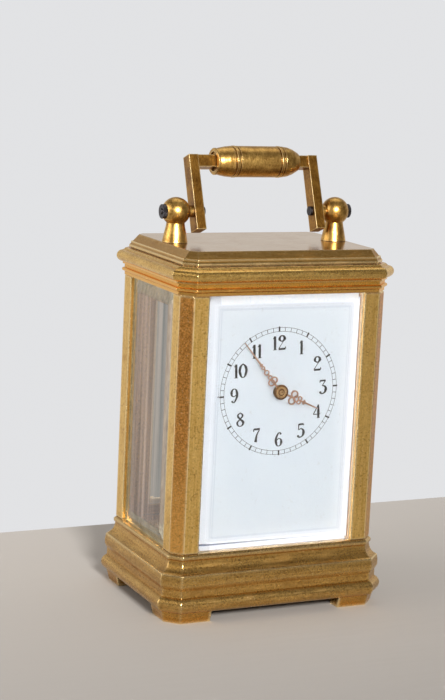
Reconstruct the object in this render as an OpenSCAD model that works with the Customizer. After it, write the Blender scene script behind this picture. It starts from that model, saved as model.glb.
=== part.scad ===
// Miniature carriage clock: a moulded brass case with bevelled panes, a folding handle,
// a rear door, and an eight-day movement with a horizontal lever platform on top.
// Millimetres. X runs to the right seen from the dial, Y to the back, Z up.
// The origin is under the middle of the base.

/* [Case] */
// Width over the four columns
case_w = 47; // [46.6:0.2:54]
// Depth over the four columns
case_d = 33.8; // [33.6:0.2:42]
// Side of a column's section
column_w = 5.6; // [5:0.1:6]
// Leg of the chamfer on the outer corner of a column
column_chamfer = 2.1; // [1.4:0.1:2.6]
// Height of a column
column_h = 53.8; // [52.6:0.2:62]
// Height of the base with its feet
base_h = 14.4; // [13.6:0.2:18]
// Thickness of the floor that closes the top of the hollow base
base_floor = 2.2; // [2:0.1:2.6]
// Wall of the base inside the plane of the columns
base_wall = 2.2; // [1.8:0.1:2.6]
// Height of the bracket feet
foot_h = 2.4; // [1.8:0.1:3]
// Length of a foot along the front and back
foot_front = 8.5; // [7:0.1:10]
// Length of a foot along the sides
foot_side = 7.4; // [6:0.1:8.5]

/* [Mouldings] */
// Radius of the half-round at the bottom of the base
torus_r = 1.8; // [1.5:0.1:2]
// How far the half-round stands out from the columns
torus_reach = 2.7; // [2.3:0.1:3]
// How far the nose above it stands out
nose_reach = 2.1; // [1.8:0.1:2.3]
// Height of the cove that runs in to the columns
cove_h = 2.6; // [2.2:0.1:2.9]
// Depth of that cove
cove_d = 1.6; // [1.2:0.1:1.8]
// How far the crown of the cornice stands out
crown_reach = 2; // [1.7:0.1:2.4]
// Radius of the crown
crown_r = 1.25; // [1.1:0.05:1.35]
// Radius of the small half-round under the crown
bead_r = 0.4; // [0.3:0.05:0.5]
// Height of the moulding on top of the cornice
top_h = 2.95; // [2.6:0.05:3.6]
// How far the edge of the top plane lies inside the columns
top_set_in = 2.3; // [1.8:0.1:2.5]

/* [Glass] */
// Thickness of a pane
glass_t = 1.2; // [1:0.05:1.3]
// Thickness of a pane's edge, which slides in the grooves
glass_edge = 0.5; // [0.4:0.05:0.6]
// Width of the bevel that shows
bevel_w = 3; // [2:0.1:4]
// Distance from the face of the columns to the face of a pane
glass_set_in = 0.3; // [0.2:0.05:0.5]
// Depth of the grooves that hold the panes
groove_d = 0.8; // [0.6:0.1:1]
// Clearance round a pane in its grooves
glass_play = 0.05; // [0.03:0.01:0.08]

/* [Handle] */
// Distance from a post's axis to the side face of the columns
post_set_in = 4.8; // [4.5:0.1:5.2]
// Diameter of a post's ball
ball_d = 6; // [5.2:0.1:6.4]
// Height of the handle's pivot above the top
pivot_h = 6.4; // [6.2:0.1:8]
// Distance from the pivot to the middle of the grip
arm_len = 10.8; // [9.6:0.1:12]
// Length of an arm below the pivot
arm_tail = 4.2; // [3.2:0.1:4.6]
// Thickness of an arm
arm_t = 2.1; // [1.7:0.1:2.3]
// Width of an arm at the top
arm_w = 3; // [2.8:0.1:3.3]
// Length of the grip
grip_len = 19.6; // [17:0.1:21]
// Greatest diameter of the grip
grip_d = 6.75; // [5.8:0.05:7]
// How far the grip sits to the right of the middle
grip_shift = 0.9; // [0:0.1:1]
// Lean of the handle towards the back, degrees
handle_lean = 21; // [0:1:40]

/* [Door] */
// Thickness of the door's frame
door_t = 3; // [2.6:0.1:3.4]
// Width of the door's frame
door_stile = 3.2; // [3:0.1:4]
// Gap round the door
door_gap = 0.12; // [0.1:0.01:0.2]
// Diameter of the door's knob
knob_d = 3; // [2.4:0.1:3.6]

/* [Dial and hands] */
// Thickness of the enamelled dial
dial_t = 0.8; // [0.6:0.1:1]
// Space between the front pane and the dial
hand_space = 1.35; // [1.3:0.05:1.6]
// Height of the dial's centre above the base
dial_centre_h = 33; // [32.6:0.1:34]
// Length of the minute hand
minute_len = 13.8; // [11:0.1:15]
// Length of the hour hand
hour_len = 10; // [8.6:0.1:11]
// Thickness of a hand
hand_t = 0.25; // [0.2:0.01:0.3]
// Minutes past midnight or noon that the hands show
time_shown = 233.4; // [0:0.1:719]
// Angle by which the hour hand sits behind on its friction fit, degrees
hour_behind = 3; // [0:0.5:4]

/* [Movement] */
// Thickness of the two plates
plate_t = 1.2; // [1:0.1:1.4]
// Distance between the plates
plate_gap = 12; // [11.6:0.1:12.6]
// Width of the plates
plate_w = 32; // [31.4:0.1:33]
// Height of the plates
plate_h = 41.6; // [41:0.1:42.4]
// Diameter of the pillars between the plates
pillar_d = 3; // [2.6:0.1:3.2]
// Space between the dial and the front plate
motion_space = 2.2; // [2.2:0.05:2.6]
// Radial clearance of a pivot in its hole
pivot_play = 0.03; // [0.02:0.01:0.05]
// End play of an arbor
end_play = 0.1; // [0.06:0.01:0.14]
// Radial clearance of a screw in its hole
screw_play = 0.03; // [0.02:0.01:0.05]

/* [Wheels] */
// Module of the barrel and the centre pinion
barrel_module = 0.3; // [0.29:0.002:0.304]
// Module of the centre wheel and the third pinion
centre_module = 0.25; // [0.24:0.002:0.254]
// Module of the third wheel and the contrate pinion
third_module = 0.22; // [0.216:0.002:0.224]
// Module of the hour wheel and the minute pinion
hour_module = 0.192; // [0.186:0.002:0.196]
// Thickness of the train wheels
wheel_t = 0.6; // [0.5:0.05:0.7]
// Angle of the barrel to the left below the centre, degrees
barrel_side = 16; // [15:1:20]
// Radius of the barrel's drum
drum_r = 10; // [9.4:0.1:10]
// Outer radius of the contrate wheel
contrate_r = 5.45; // [5.3:0.05:5.5]
// Radius of the escape wheel
escape_r = 3; // [2.8:0.05:3.1]
// Radius of the balance
balance_r = 5.2; // [4.6:0.1:5.4]
// Radius of the ratchet wheel
ratchet_r = 4.6; // [4.2:0.1:5]

/* [Hidden] */
$fn = 48;

brass = "#b8863b";
gilt = "#d9ae55";
steel = "#8d9299";
blued = "#33415e";
enamel = "#eef1f6";
clear = "#cfe3ea88";
eps = 0.01;

// Case levels and half sizes
half_w = case_w/2;
half_d = case_d/2;
column_top = base_h + column_h;
column_x = half_w - column_w/2;
column_y = half_d - column_w/2;
gap_x = half_w - column_w;
gap_y = half_d - column_w;

// Base section, upwards
torus_z = foot_h + torus_r - 0.15;
neck_reach = torus_reach - 1.1;
bead_band = 0.9;
cove_foot = base_h - 0.4 - bead_band - cove_h;
nose_h = 2.3;
nose_z = cove_foot - nose_h;
cove_bend = (cove_d*cove_d + cove_h*cove_h)/(2*cove_d);
cove_in = 0.15;
foot_top_reach = torus_reach - 1.1;
foot_taper = 0.65;

// Cornice section, upwards from the columns
fillet_h = 0.7;
fillet_reach = 0.3;
quirk = 0.1;
bead_reach = 0.85;
neck_h = 0.8;
step_h = 0.4;
step_reach = 0.75;
crown_slope = 0.45;
bead_z = column_top + fillet_h + quirk + bead_r;
step_z = bead_z + bead_r + neck_h;
crown_z = step_z + step_h + 0.05 + crown_r;
cornice_top = crown_z + crown_r + crown_slope;
cornice_chamfer = column_chamfer + 0.6;
groove_h = 0.3;
groove_in = 0.75;
band_in = 0.4;
band_h = 0.35;
top_z = cornice_top + top_h;
cornice_hole_x = half_w - 8;
cornice_hole_y = half_d - 6.5;
panel_corner = 3;

// Panes
edge_back = glass_set_in + glass_t;
edge_front = edge_back - glass_edge;
pane_h = column_h + 2*groove_d - 2*glass_play;

// Screws
case_screw_r = 0.8;
case_head_r = 1.3;
case_head_h = 0.8;
screw_bite = 5;
small_screw_r = 0.6;
small_head_r = 1.1;
small_head_h = 0.6;
slot_w = 0.3;

// Handle
pivot_z = top_z + pivot_h;
ball_r = ball_d/2;
post_x = half_w - post_set_in;
stud_r = 1;
stud_len = 5.5;
boss_r = 1.25;
boss_len = 0.6;
post_foot_r = post_set_in - top_set_in + 0.2;
arm_face = post_x - ball_r - boss_len - 0.05;
arm_back = arm_face - arm_t;
arm_over = 1.15;
bar_h = 2.6;
bar_w = 2.4;
grip_recess = 0.35;
arm_spread = 0.4;
pivot_r = 0.6;
pivot_head_r = 1;
nut_r = 1.5;
nut_h = 0.8;
nut_seat = sqrt(ball_r*ball_r - nut_r*nut_r) - 0.1;
pivot_head_h = 0.5;
tenon_r = 0.8;
tenon_len = 2;
groove_step = 0.3;

// Door, hinged on the right seen from the dial
door_half = gap_x - door_gap;
door_z0 = base_h + door_gap;
door_z1 = column_top - door_gap;
door_y1 = half_d - 0.2;
hinge_r = door_t/2;
hinge_x = door_half - hinge_r;
hinge_y = door_y1 - hinge_r;
pin_r = 0.5;
pin_len = 1.3;
door_rabbet = 1;
knob_len = 2.2;
knob_z = base_h + column_h/2;

// Depths from the front, at which the layers of dial and movement lie
glass_back = -half_d + edge_back;
dial_y0 = glass_back + hand_space;
dial_y1 = dial_y0 + dial_t;
front_y0 = dial_y1 + motion_space;
front_y1 = front_y0 + plate_t;
back_y0 = front_y1 + plate_gap;
back_y1 = back_y0 + plate_t;
plate_z0 = base_h + 0.05;
platform_z0 = plate_z0 + plate_h;
dial_gap = 0.1;
dial_hole_r = 1.35;
foot_x = 12.4;
foot_low = 7;
foot_high = 36;
dial_foot_r = 0.6;
pillar_r = pillar_d/2;
pillar_x = plate_w/2 - pillar_r - 0.3;
pillar_low = plate_z0 + pillar_r + 0.1;
pillar_high = platform_z0 - pillar_r - 0.3;

// Tooth counts
barrel_teeth = 72;
centre_leaves = 12;
centre_teeth = 64;
third_leaves = 8;
third_teeth = 60;
contrate_leaves = 8;
contrate_teeth = 48;
escape_leaves = 6;
escape_teeth = 15;
cannon_leaves = 12;
minute_teeth = 36;
minute_leaves = 10;
hour_teeth = 40;
ratchet_teeth = 24;

// Shares of the pitch that a wheel tooth and a pinion leaf fill
tooth_share = 0.46;
leaf_share = 0.38;

// Arbor places, as [x, z]
centre_at = [0, base_h + dial_centre_h];
barrel_at = centre_at
    - barrel_module*(barrel_teeth + centre_leaves)/2*[sin(barrel_side), cos(barrel_side)];
crown_top = platform_z0 - 1.9;
escape_x = 9.2;
contrate_at = [escape_x, crown_top - contrate_r];
third_at = meeting(centre_at, centre_module*(centre_teeth + third_leaves)/2,
    contrate_at, third_module*(third_teeth + contrate_leaves)/2);
hour_reach = hour_module*(minute_leaves + hour_teeth)/2;
cannon_module = 2*hour_reach/(cannon_leaves + minute_teeth);
minute_at = centre_at + hour_reach*[cos(-60), sin(-60)];

// Layers of the movement along Y
drum_y0 = front_y1 + 0.55;
drum_len = 7;
drum_wall = 0.5;
drum_end = 0.6;
cover_t = 0.5;
rim_len = 1;
drum_y1 = drum_y0 + drum_len;
centre_y = drum_y1 + 0.8;
third_y = centre_y + 1.7;
contrate_pitch = 2*PI*contrate_r/contrate_teeth;
crown_h = 1;
crown_w = 0.75;
escape_pitch_r = 0.93*contrate_r*escape_leaves/contrate_teeth;
escape_y = front_y1 + 4.85;
crown_tip_y = escape_y - escape_pitch_r + 0.25;
contrate_y = crown_tip_y - crown_h - wheel_t;

// Motion work layers
minute_y1 = front_y0 - 0.15;
minute_y0 = minute_y1 - 0.5;
hour_y1 = minute_y0 - 0.4;
hour_y0 = hour_y1 - 0.5;
cannon_pipe_r = 0.72;
cannon_bore_r = 0.47;
hour_pipe_r = 1.15;
hour_hand_y = dial_y0 - 0.3;
minute_hand_y = hour_hand_y - hand_t - 0.2;
hub_r = 1.3;
hand_collet_r = 1.6;
collet_h = hand_space - 0.5 - 2*hand_t - 0.08;

// Arbor radii
centre_r = 0.7;
centre_pivot_r = 0.6;
centre_front_r = 0.45;
train_r = 0.38;
train_pivot_r = 0.22;
barrel_arbor_r = 1.25;
barrel_pivot_r = 0.8;
winding_pivot_r = 1.15;
winding_square = 1.6;
setting_square = 0.8;
square_play = 0.02;
collet_r = 1.5;
collet_t = 0.5;
winding_end = back_y1 + 5.6;
setting_end = back_y1 + 4.6;

// Platform and escapement, upwards
platform_t = 1.2;
platform_z1 = platform_z0 + platform_t;
platform_x0 = 3 - plate_w/2;
platform_x1 = plate_w/2 - 2;
platform_screw_x = plate_w/2 - 5;
lever_z = platform_z1 + 0.7;
lever_t = 0.5;
cock_t = 0.7;
pallet_cock_z = lever_z + lever_t + 0.7;
balance_z = pallet_cock_z + cock_t + 0.6;
balance_t = 0.8;
spring_z = balance_z + balance_t + 0.5;
spring_h = 0.35;
balance_cock_z = spring_z + spring_h + 0.5;
boss_top = balance_cock_z + cock_t + 0.45;
lever_at = escape_x - escape_r*2/sqrt(3);
lever_len = 4.1;
roller_r = 0.95;
balance_x = lever_at - lever_len - 0.75;
staff_r = 0.3;
fine_pivot_r = 0.12;
fine_play = 0.02;
spring_inner = 0.62;
spring_outer = 2.7;
spring_turns = 6;
spring_blade = 0.08;
stud_angle = 200;
cock_foot_x0 = -11;
cock_foot_x1 = -7;
cock_foot_w = 5;
potence_w = 2.2;

// Click on the back plate, placed from the barrel's axis
click_at = [-6.2, 3.6];
spring_at = [-10.2, 7.4];
click_lift = 0.45;
click_gap = 0.08;
click_y0 = back_y1 + 0.1;
click_t = 0.7;

function polar(r, a) = [r*cos(a), r*sin(a)];
function bearing(a, b) = atan2(b[1] - a[1], b[0] - a[0]);
// The point that lies ra from a and rb from b, below the line between them
function meeting(a, ra, b, rb) =
    let(d = norm(b - a), u = (b - a)/d, along = (ra*ra - rb*rb + d*d)/(2*d))
    a + along*u + sqrt(ra*ra - along*along)*[u[1], -u[0]];
// Angle by which an epicycloid flank has leant in at radius r
function lean(pitch_r, roll_r, r) =
    let(c = pitch_r + roll_r,
        u = acos((c*c + roll_r*roll_r - r*r)/(2*c*roll_r))*roll_r/pitch_r,
        v = u*c/roll_r)
    atan2(c*sin(u) - roll_r*sin(v), c*cos(u) - roll_r*cos(v));
// Turn of a gear that meshes with a mate whose tooth stands at mate_turn
function mesh_turn(teeth, mate_teeth, mate_turn, way) =
    way + 180 + 180/teeth + (way - mate_turn)*mate_teeth/teeth;
// One outline repeated round a centre, from [radius, angle] points of one tooth
function ring_of(count, tooth) =
    [for (i = [0:count - 1]) for (p = tooth) polar(p[0], i*360/count + p[1])];
// Wheel with radial dedendum and epicycloid addendum, made for a mate with so many leaves
function wheel_outline(teeth, size, leaves) =
    let(r = teeth*size/2, roll_r = leaves*size/4, half = tooth_share*180/teeth,
        tip = r + 1.2*size, root = r - 1.1*size, tip_half = half - lean(r, roll_r, tip))
    ring_of(teeth, [[root, -half], [r, -half], [tip, -tip_half], [tip, tip_half],
        [r, half], [root, half]]);
// Pinion with radial leaves and rounded tips
function pinion_outline(leaves, size) =
    let(r = leaves*size/2, half = leaf_share*180/leaves, root = r - 1.55*size)
    ring_of(leaves, [[root, -half], [r, -half], [r + 0.4*size, -0.7*half],
        [r + 0.6*size, -0.25*half], [r + 0.6*size, 0.25*half], [r + 0.4*size, 0.7*half],
        [r, half], [root, half]]);
// Band that follows a flat spiral, t thick, as one outline
function spiral_outline(r0, r1, turns, t, start) =
    let(steps = turns*24)
    concat(
        [for (i = [0:steps]) polar(r0 + (r1 - r0)*i/steps, start + i*15)],
        [for (i = [steps:-1:0]) polar(r0 + t + (r1 - r0)*i/steps, start + i*15)]);

module both_sides() {
    for (side = [0, 1]) mirror([side, 0]) children();
}

module mirror_copy(way) {
    children();
    mirror(way) children();
}

// Round bar along Y between y0 and y1
module bar_y(at, y0, y1, r) {
    translate([at[0], y1, at[1]]) rotate([90, 0, 0]) cylinder(h = y1 - y0, r = r);
}

// Flat outline in the plane of X and Z, between y0 and y1
module flat_y(at, y0, y1) {
    translate([at[0], y1, at[1]]) rotate([90, 0, 0]) linear_extrude(y1 - y0) children();
}

module bar_z(at, z0, z1, r) {
    translate([at[0], at[1], z0]) cylinder(h = z1 - z0, r = r);
}

module flat_z(z0, z1) {
    translate([0, 0, z0]) linear_extrude(z1 - z0) children();
}

// Block between two opposite corners
module block(low, high) {
    translate(low) cube(high - low);
}

// Block with mitred mouldings all round: the child draws the section for $half,
// the distance from the middle to the plane that the section is measured from
module mitred(half_x, half_y, leg) {
    span = 3*(half_x + half_y);
    diagonal = (half_x + half_y - leg)/sqrt(2);
    intersection_for (side = [[0, half_x], [90, half_y], [45, diagonal], [-45, diagonal]])
        rotate([0, 0, side[0]]) rotate([90, 0, 0]) linear_extrude(span, center = true)
            let ($half = side[1]) both_sides() children();
}

// Rectangle with its corners cut off, given by half its width, half its height and the cut
module chamfered(x, y, c) {
    polygon([[x, y - c], [x - c, y], [c - x, y], [-x, y - c], [-x, c - y], [c - x, -y],
        [x - c, -y], [x, c - y]]);
}

module rounded_plate(x, y, r) {
    for (sx = [-1, 1], sy = [-1, 1]) translate([sx*(x - r), sy*(y - r)]) circle(r);
    square([2*x, 2*(y - r)], center = true);
    square([2*(x - r), 2*y], center = true);
}

// Screw along Z with its head at the bottom, head face at zero
module screw(r, head_r, head_h, len) {
    difference() {
        union() {
            cylinder(h = head_h, r = head_r);
            cylinder(h = head_h + len, r = r);
        }
        translate([-head_r, -slot_w/2, -eps]) cube([2*head_r, slot_w, 0.3]);
    }
}

module at_columns() {
    for (sx = [-1, 1], sy = [-1, 1]) translate([sx*column_x, sy*column_y, 0]) children();
}

// ---- Case ----

// Space that the edges of the three fixed panes need
module pane_grooves() {
    x = gap_x + groove_d;
    y = gap_y + groove_d;
    z0 = base_h - groove_d;
    z1 = column_top + groove_d;
    front0 = -half_d + edge_front - glass_play;
    front1 = -half_d + edge_back + glass_play;
    side0 = half_w - edge_back - glass_play;
    side1 = half_w - edge_front + glass_play;
    block([-x, front0, z0], [x, front1, z1]);
    mirror_copy([1, 0, 0]) block([side0, -y, z0], [side1, y, z1]);
}

module base_section() {
    cove_top = cove_foot + cove_h;
    difference() {
        union() {
            translate([-1, 0]) square([$half + 1, base_h - 0.4]);
            translate([$half + torus_reach - torus_r, torus_z]) circle(torus_r);
            translate([-1, torus_z]) square([$half + neck_reach + 1, nose_z - torus_z - 0.5]);
        }
        translate([-2, -1]) square([$half + 9, foot_h + 1]);
    }
    polygon([[-1, nose_z - 1], [$half + neck_reach, nose_z - 1], [$half + nose_reach, nose_z],
        [$half + nose_reach, nose_z + 1], [$half + nose_reach - 0.2, cove_foot], [-1, cove_foot]]);
    difference() {
        translate([-1, cove_foot - 0.5])
            square([$half + cove_in + cove_d + 1.1, cove_h + 0.5]);
        translate([$half + cove_in + cove_bend, cove_top]) circle(cove_bend);
    }
    polygon([[-1, cove_top], [$half + cove_in, cove_top], [$half + 0.45, cove_top + 0.35],
        [$half + 0.45, cove_top + bead_band], [$half, base_h], [-1, base_h]]);
}

module foot_section() {
    polygon([[-1, 0], [$half + foot_top_reach - foot_taper, 0],
        [$half + foot_top_reach, foot_h + 0.2], [-1, foot_h + 0.2]]);
}

// Room between the feet
module foot_gap(half_gap) {
    translate([-half_gap, -1]) square([2*half_gap, foot_h + 1]);
}

module base_moulding() {
    inner_x = half_w - base_wall;
    inner_y = half_d - base_wall;
    color(brass) difference() {
        union() {
            mitred(half_w, half_d, column_chamfer) base_section();
            difference() {
                mitred(half_w, half_d, column_chamfer) foot_section();
                flat_y([0, 0], -2*half_d, 2*half_d) foot_gap(half_w - foot_front);
                rotate([0, 0, 90])
                    flat_y([0, 0], -2*half_w, 2*half_w) foot_gap(half_d - foot_side);
            }
        }
        flat_z(-1, base_h - base_floor) chamfered(inner_x, inner_y, panel_corner);
        pane_grooves();
        at_columns() {
            bar_z([0, 0], -1, base_h - base_floor, case_head_r + 0.15);
            bar_z([0, 0], 0, base_h + 1, case_screw_r + screw_play);
        }
        for (sx = [-1, 1]) bar_z([sx*pillar_x, (front_y1 + back_y0)/2], 0, base_h + 1,
            case_screw_r + screw_play);
        bar_z([hinge_x, hinge_y], base_h - pin_len, base_h + 1, pin_r + pivot_play);
    }
}

// Column with its outer corner chamfered and its ends eased
module column(sx, sy) {
    ease = 0.2;
    color(gilt) difference() {
        for (step = [[0, ease], [ease, 0], [column_h - ease, ease]]) {
            h = step[1] > 0 ? ease : column_h - 2*ease;
            flat_z(base_h + step[0], base_h + step[0] + h) polygon([
                [sx*gap_x, sy*gap_y], [sx*(half_w - step[1]), sy*gap_y],
                [sx*(half_w - step[1]), sy*(half_d - column_chamfer)],
                [sx*(half_w - column_chamfer), sy*(half_d - step[1])],
                [sx*gap_x, sy*(half_d - step[1])]]);
        }
        pane_grooves();
        for (z = [base_h - 1, column_top - screw_bite])
            bar_z([sx*column_x, sy*column_y], z, z + screw_bite + 1, case_screw_r + screw_play);
    }
}

module column_front_left() { column(-1, -1); }
module column_front_right() { column(1, -1); }
module column_back_left() { column(-1, 1); }
module column_back_right() { column(1, 1); }

module cornice_section() {
    crown_x = $half + crown_reach - crown_r;
    translate([-1, column_top]) square([$half + 1.1, cornice_top - column_top]);
    translate([-1, column_top]) square([$half + fillet_reach + 1, fillet_h]);
    translate([$half + bead_reach - bead_r, bead_z]) circle(bead_r);
    translate([-1, bead_z - 0.1]) square([$half + 1.35, step_z - bead_z + 0.2]);
    translate([-1, step_z]) square([$half + step_reach + 1, step_h]);
    translate([-1, step_z + 0.1]) square([$half + 1.5, crown_z - step_z]);
    translate([crown_x, crown_z]) circle(crown_r);
    polygon([[-1, crown_z - 0.3], [crown_x, crown_z - 0.3], [crown_x, crown_z + crown_r],
        [$half + 0.3, cornice_top], [-1, cornice_top]]);
}

module cornice() {
    color(gilt) difference() {
        mitred(half_w, half_d, cornice_chamfer) cornice_section();
        flat_z(column_top - 1, cornice_top + 1)
            rounded_plate(cornice_hole_x, cornice_hole_y, panel_corner);
        pane_grooves();
        at_columns() {
            bar_z([0, 0], column_top - 1, cornice_top + 1, case_screw_r + screw_play);
            bar_z([0, 0], cornice_top - case_head_h, cornice_top + 1, case_head_r + 0.1);
        }
        bar_z([hinge_x, hinge_y], column_top - 1, column_top + pin_len, pin_r + pivot_play);
        for (sx = [-1, 1])
            bar_z([sx*post_x, 0], top_z - stud_len - 0.1, top_z, stud_r + screw_play);
    }
}

// Groove, narrow band and slope
module top_section() {
    band_z = cornice_top + groove_h;
    translate([-1, cornice_top]) square([$half - groove_in + 1, top_h/2]);
    polygon([[-1, band_z], [$half - band_in, band_z], [$half - band_in, band_z + band_h],
        [$half - top_set_in, top_z], [-1, top_z]]);
}

module top_moulding() {
    color(gilt) difference() {
        mitred(half_w, half_d, cornice_chamfer) top_section();
        for (sx = [-1, 1]) bar_z([sx*post_x, 0], cornice_top - 1, top_z + 1, stud_r + screw_play);
    }
}

// Bevelled pane lying flat, its full face up at z = thickness
module pane(w, h) {
    module section(size) {
        half = size/2;
        flat = groove_d;
        polygon([[-half, 0], [half, 0], [half, glass_edge], [half - flat, glass_edge],
            [half - flat - bevel_w, glass_t], [flat + bevel_w - half, glass_t],
            [flat - half, glass_edge], [-half, glass_edge]]);
    }
    intersection() {
        rotate([90, 0, 0]) linear_extrude(h, center = true) section(w);
        rotate([90, 0, 90]) linear_extrude(w, center = true) section(h);
    }
}

module front_glass() {
    color(clear) translate([0, glass_back, base_h + column_h/2]) rotate([90, 0, 0])
        pane(2*(gap_x + groove_d - glass_play), pane_h);
}

module side_glass() {
    translate([half_w - edge_back, 0, base_h + column_h/2]) rotate([90, 0, 90])
        pane(2*(gap_y + groove_d - glass_play), pane_h);
}

module right_glass() { color(clear) side_glass(); }
module left_glass() { color(clear) mirror([1, 0, 0]) side_glass(); }

// Eight screws: four up through the base, four down through the cornice
module case_screws() {
    color(steel) {
        at_columns() translate([0, 0, base_h - base_floor - case_head_h])
            screw(case_screw_r, case_head_r, case_head_h, base_floor + screw_bite - 1.2);
        at_columns() translate([0, 0, cornice_top]) mirror([0, 0, 1])
            screw(case_screw_r, case_head_r, case_head_h,
                cornice_top - column_top - case_head_h + screw_bite - 0.2);
    }
}

module movement_screws() {
    reach = base_floor + pillar_low - base_h;
    color(steel) for (sx = [-1, 1])
        translate([sx*pillar_x, (front_y1 + back_y0)/2, base_h - base_floor - case_head_h])
            screw(case_screw_r, case_head_r, case_head_h, reach);
}

// ---- Handle ----

// Ball on a flared foot, with a stud below and a boss that faces the arm
module handle_post(side) {
    neck_r = 1.9;
    neck_top = pivot_h - sqrt(ball_r*ball_r - neck_r*neck_r);
    flare = post_foot_r - neck_r;
    color(gilt) difference() {
        translate([side*post_x, 0, top_z]) {
            rotate_extrude() polygon([[0, -stud_len], [stud_r, -stud_len], [stud_r, 0],
                [post_foot_r - 0.1, 0], [post_foot_r, 0.1], [post_foot_r - 0.1, 0.5],
                [neck_r + 0.55*flare, 0.45*neck_top], [neck_r + 0.15*flare, 0.8*neck_top],
                [neck_r, neck_top], [neck_r, neck_top + 0.3], [0, neck_top + 0.3]]);
            translate([0, 0, pivot_h]) sphere(ball_r);
            translate([0, 0, pivot_h]) rotate([0, -side*90, 0])
                cylinder(h = ball_r + boss_len, r = boss_r);
        }
        translate([0, 0, pivot_z]) rotate([0, side*90, 0])
            cylinder(h = 2*half_w, r = pivot_r + screw_play);
        translate([side*(post_x + nut_seat), 0, pivot_z]) rotate([0, side*90, 0])
            cylinder(h = ball_r, r = nut_r + 0.3);
    }
}

module handle_post_left() { handle_post(-1); }
module handle_post_right() { handle_post(1); }

// Drawn upright with the pivot at the origin, then leant back
module lean_back() {
    translate([0, 0, pivot_z]) rotate([-handle_lean, 0, 0]) children();
}

// Flat bar that turns square at the top and runs to the grip
module handle_arm(side) {
    low_w = arm_w + arm_spread;
    top = arm_len + arm_over;
    recess = side < 0 ? grip_recess : 0;
    bar_end = grip_len/2 - recess + side*grip_shift;
    color(gilt) lean_back() difference() {
        union() {
            translate([side*arm_face, 0, 0]) rotate([90, 0, -side*90])
                linear_extrude(arm_t) polygon([[-low_w/2, -arm_tail], [low_w/2, -arm_tail],
                    [arm_w/2, top], [-arm_w/2, top]]);
            translate([side*(bar_end + arm_back + 0.5)/2, 0, top - bar_h/2])
                cube([arm_back + 0.5 - bar_end, bar_w, bar_h], center = true);
            translate([side*arm_back, 0, arm_len]) rotate([0, -side*90, 0])
                cylinder(h = arm_back - bar_end + tenon_len, r = tenon_r);
        }
        rotate([0, side*90, 0]) cylinder(h = 2*half_w, r = pivot_r + pivot_play);
    }
}

module handle_arm_left() { handle_arm(-1); }
module handle_arm_right() { handle_arm(1); }

// Turned grip, right end up: a barrel between two rings, one end blunt and one tapered
module handle_grip() {
    half = grip_len/2;
    ring = half - 4.6;
    r = grip_d/2;
    low = r - groove_step;
    color(gilt) lean_back() translate([grip_shift, 0, arm_len]) rotate([0, 90, 0]) difference() {
        rotate_extrude() polygon([[0, grip_recess - half], [2.1, grip_recess - half],
            [2.1, -half], [r - 0.65, -half], [r - 0.52, 0.15 - half], [r - 0.52, 0.4 - half],
            [r - 0.65, 0.5 - half], [r - 0.45, 1.3 - half], [r - 0.2, 2.6 - half],
            [r - 0.08, -ring - 0.8], [low, -ring - 0.65], [low, -ring - 0.4],
            [r, -ring - 0.3], [r, 0.2 - ring], [low, 0.3 - ring], [low, 0.5 - ring],
            [r - 0.06, 0.65 - ring], [r - 0.06, ring - 0.65], [low, ring - 0.5],
            [low, ring - 0.3], [r, ring - 0.2], [r, ring + 0.3], [low, ring + 0.4],
            [low, ring + 0.65], [r - 0.08, ring + 0.8], [r - 0.25, half - 2.5],
            [r - 0.62, half - 1.4], [r - 1.1, half - 0.5], [r - 1.4, half], [0, half]]);
        translate([0, 0, half - tenon_len - 0.1]) cylinder(h = tenon_len + 1, r = tenon_r + 0.02);
        translate([0, 0, -half - 1])
            cylinder(h = tenon_len + grip_recess + 1.1, r = tenon_r + 0.02);
    }
}

module handle_screws() {
    reach = post_x + nut_seat + nut_h + 0.25 - arm_back;
    color(steel) for (side = [-1, 1])
        translate([side*(arm_back - pivot_head_h - 0.05), 0, pivot_z]) rotate([0, side*90, 0])
            screw(pivot_r, pivot_head_r, pivot_head_h, reach + 0.05);
}

// Knurled nut on the outer end of each pivot screw
module handle_nuts() {
    ribs = 24;
    color(steel) for (side = [-1, 1])
        translate([side*(post_x + nut_seat), 0, pivot_z]) rotate([0, side*90, 0])
            linear_extrude(nut_h) difference() {
                polygon(ring_of(ribs, [[nut_r - 0.12, -90/ribs], [nut_r, 0], [nut_r, 45/ribs]]));
                circle(pivot_r + screw_play);
            }
}

// ---- Rear door ----

module door_frame() {
    opening_x = door_half - door_stile;
    color(gilt) difference() {
        union() {
            block([-door_half, hinge_y - hinge_r, door_z0], [hinge_x, door_y1, door_z1]);
            bar_z([hinge_x, hinge_y], door_z0, door_z1, hinge_r);
        }
        block([-opening_x, hinge_y - door_t, door_z0 + door_stile],
            [opening_x, door_y1 + 1, door_z1 - door_stile]);
        block([-opening_x - door_rabbet, hinge_y - door_t, door_z0 + door_stile - door_rabbet],
            [opening_x + door_rabbet, hinge_y - hinge_r + glass_t + 0.4,
                door_z1 - door_stile + door_rabbet]);
        for (z = [door_z0 - 1, door_z1 - pin_len])
            bar_z([hinge_x, hinge_y], z, z + pin_len + 1, pin_r + screw_play);
        flat_knob_hole();
    }
}

module flat_knob_hole() {
    bar_y([-door_half + door_stile/2, knob_z], door_y1 - 1.2, door_y1 + 1,
        small_screw_r + screw_play);
}

module door_glass() {
    w = 2*(door_half - door_stile + door_rabbet - glass_play);
    h = door_z1 - door_z0 - 2*(door_stile - door_rabbet + glass_play);
    color(clear) translate([0, hinge_y - hinge_r + 0.4, (door_z0 + door_z1)/2])
        rotate([-90, 0, 0]) pane(w, h);
}

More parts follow.
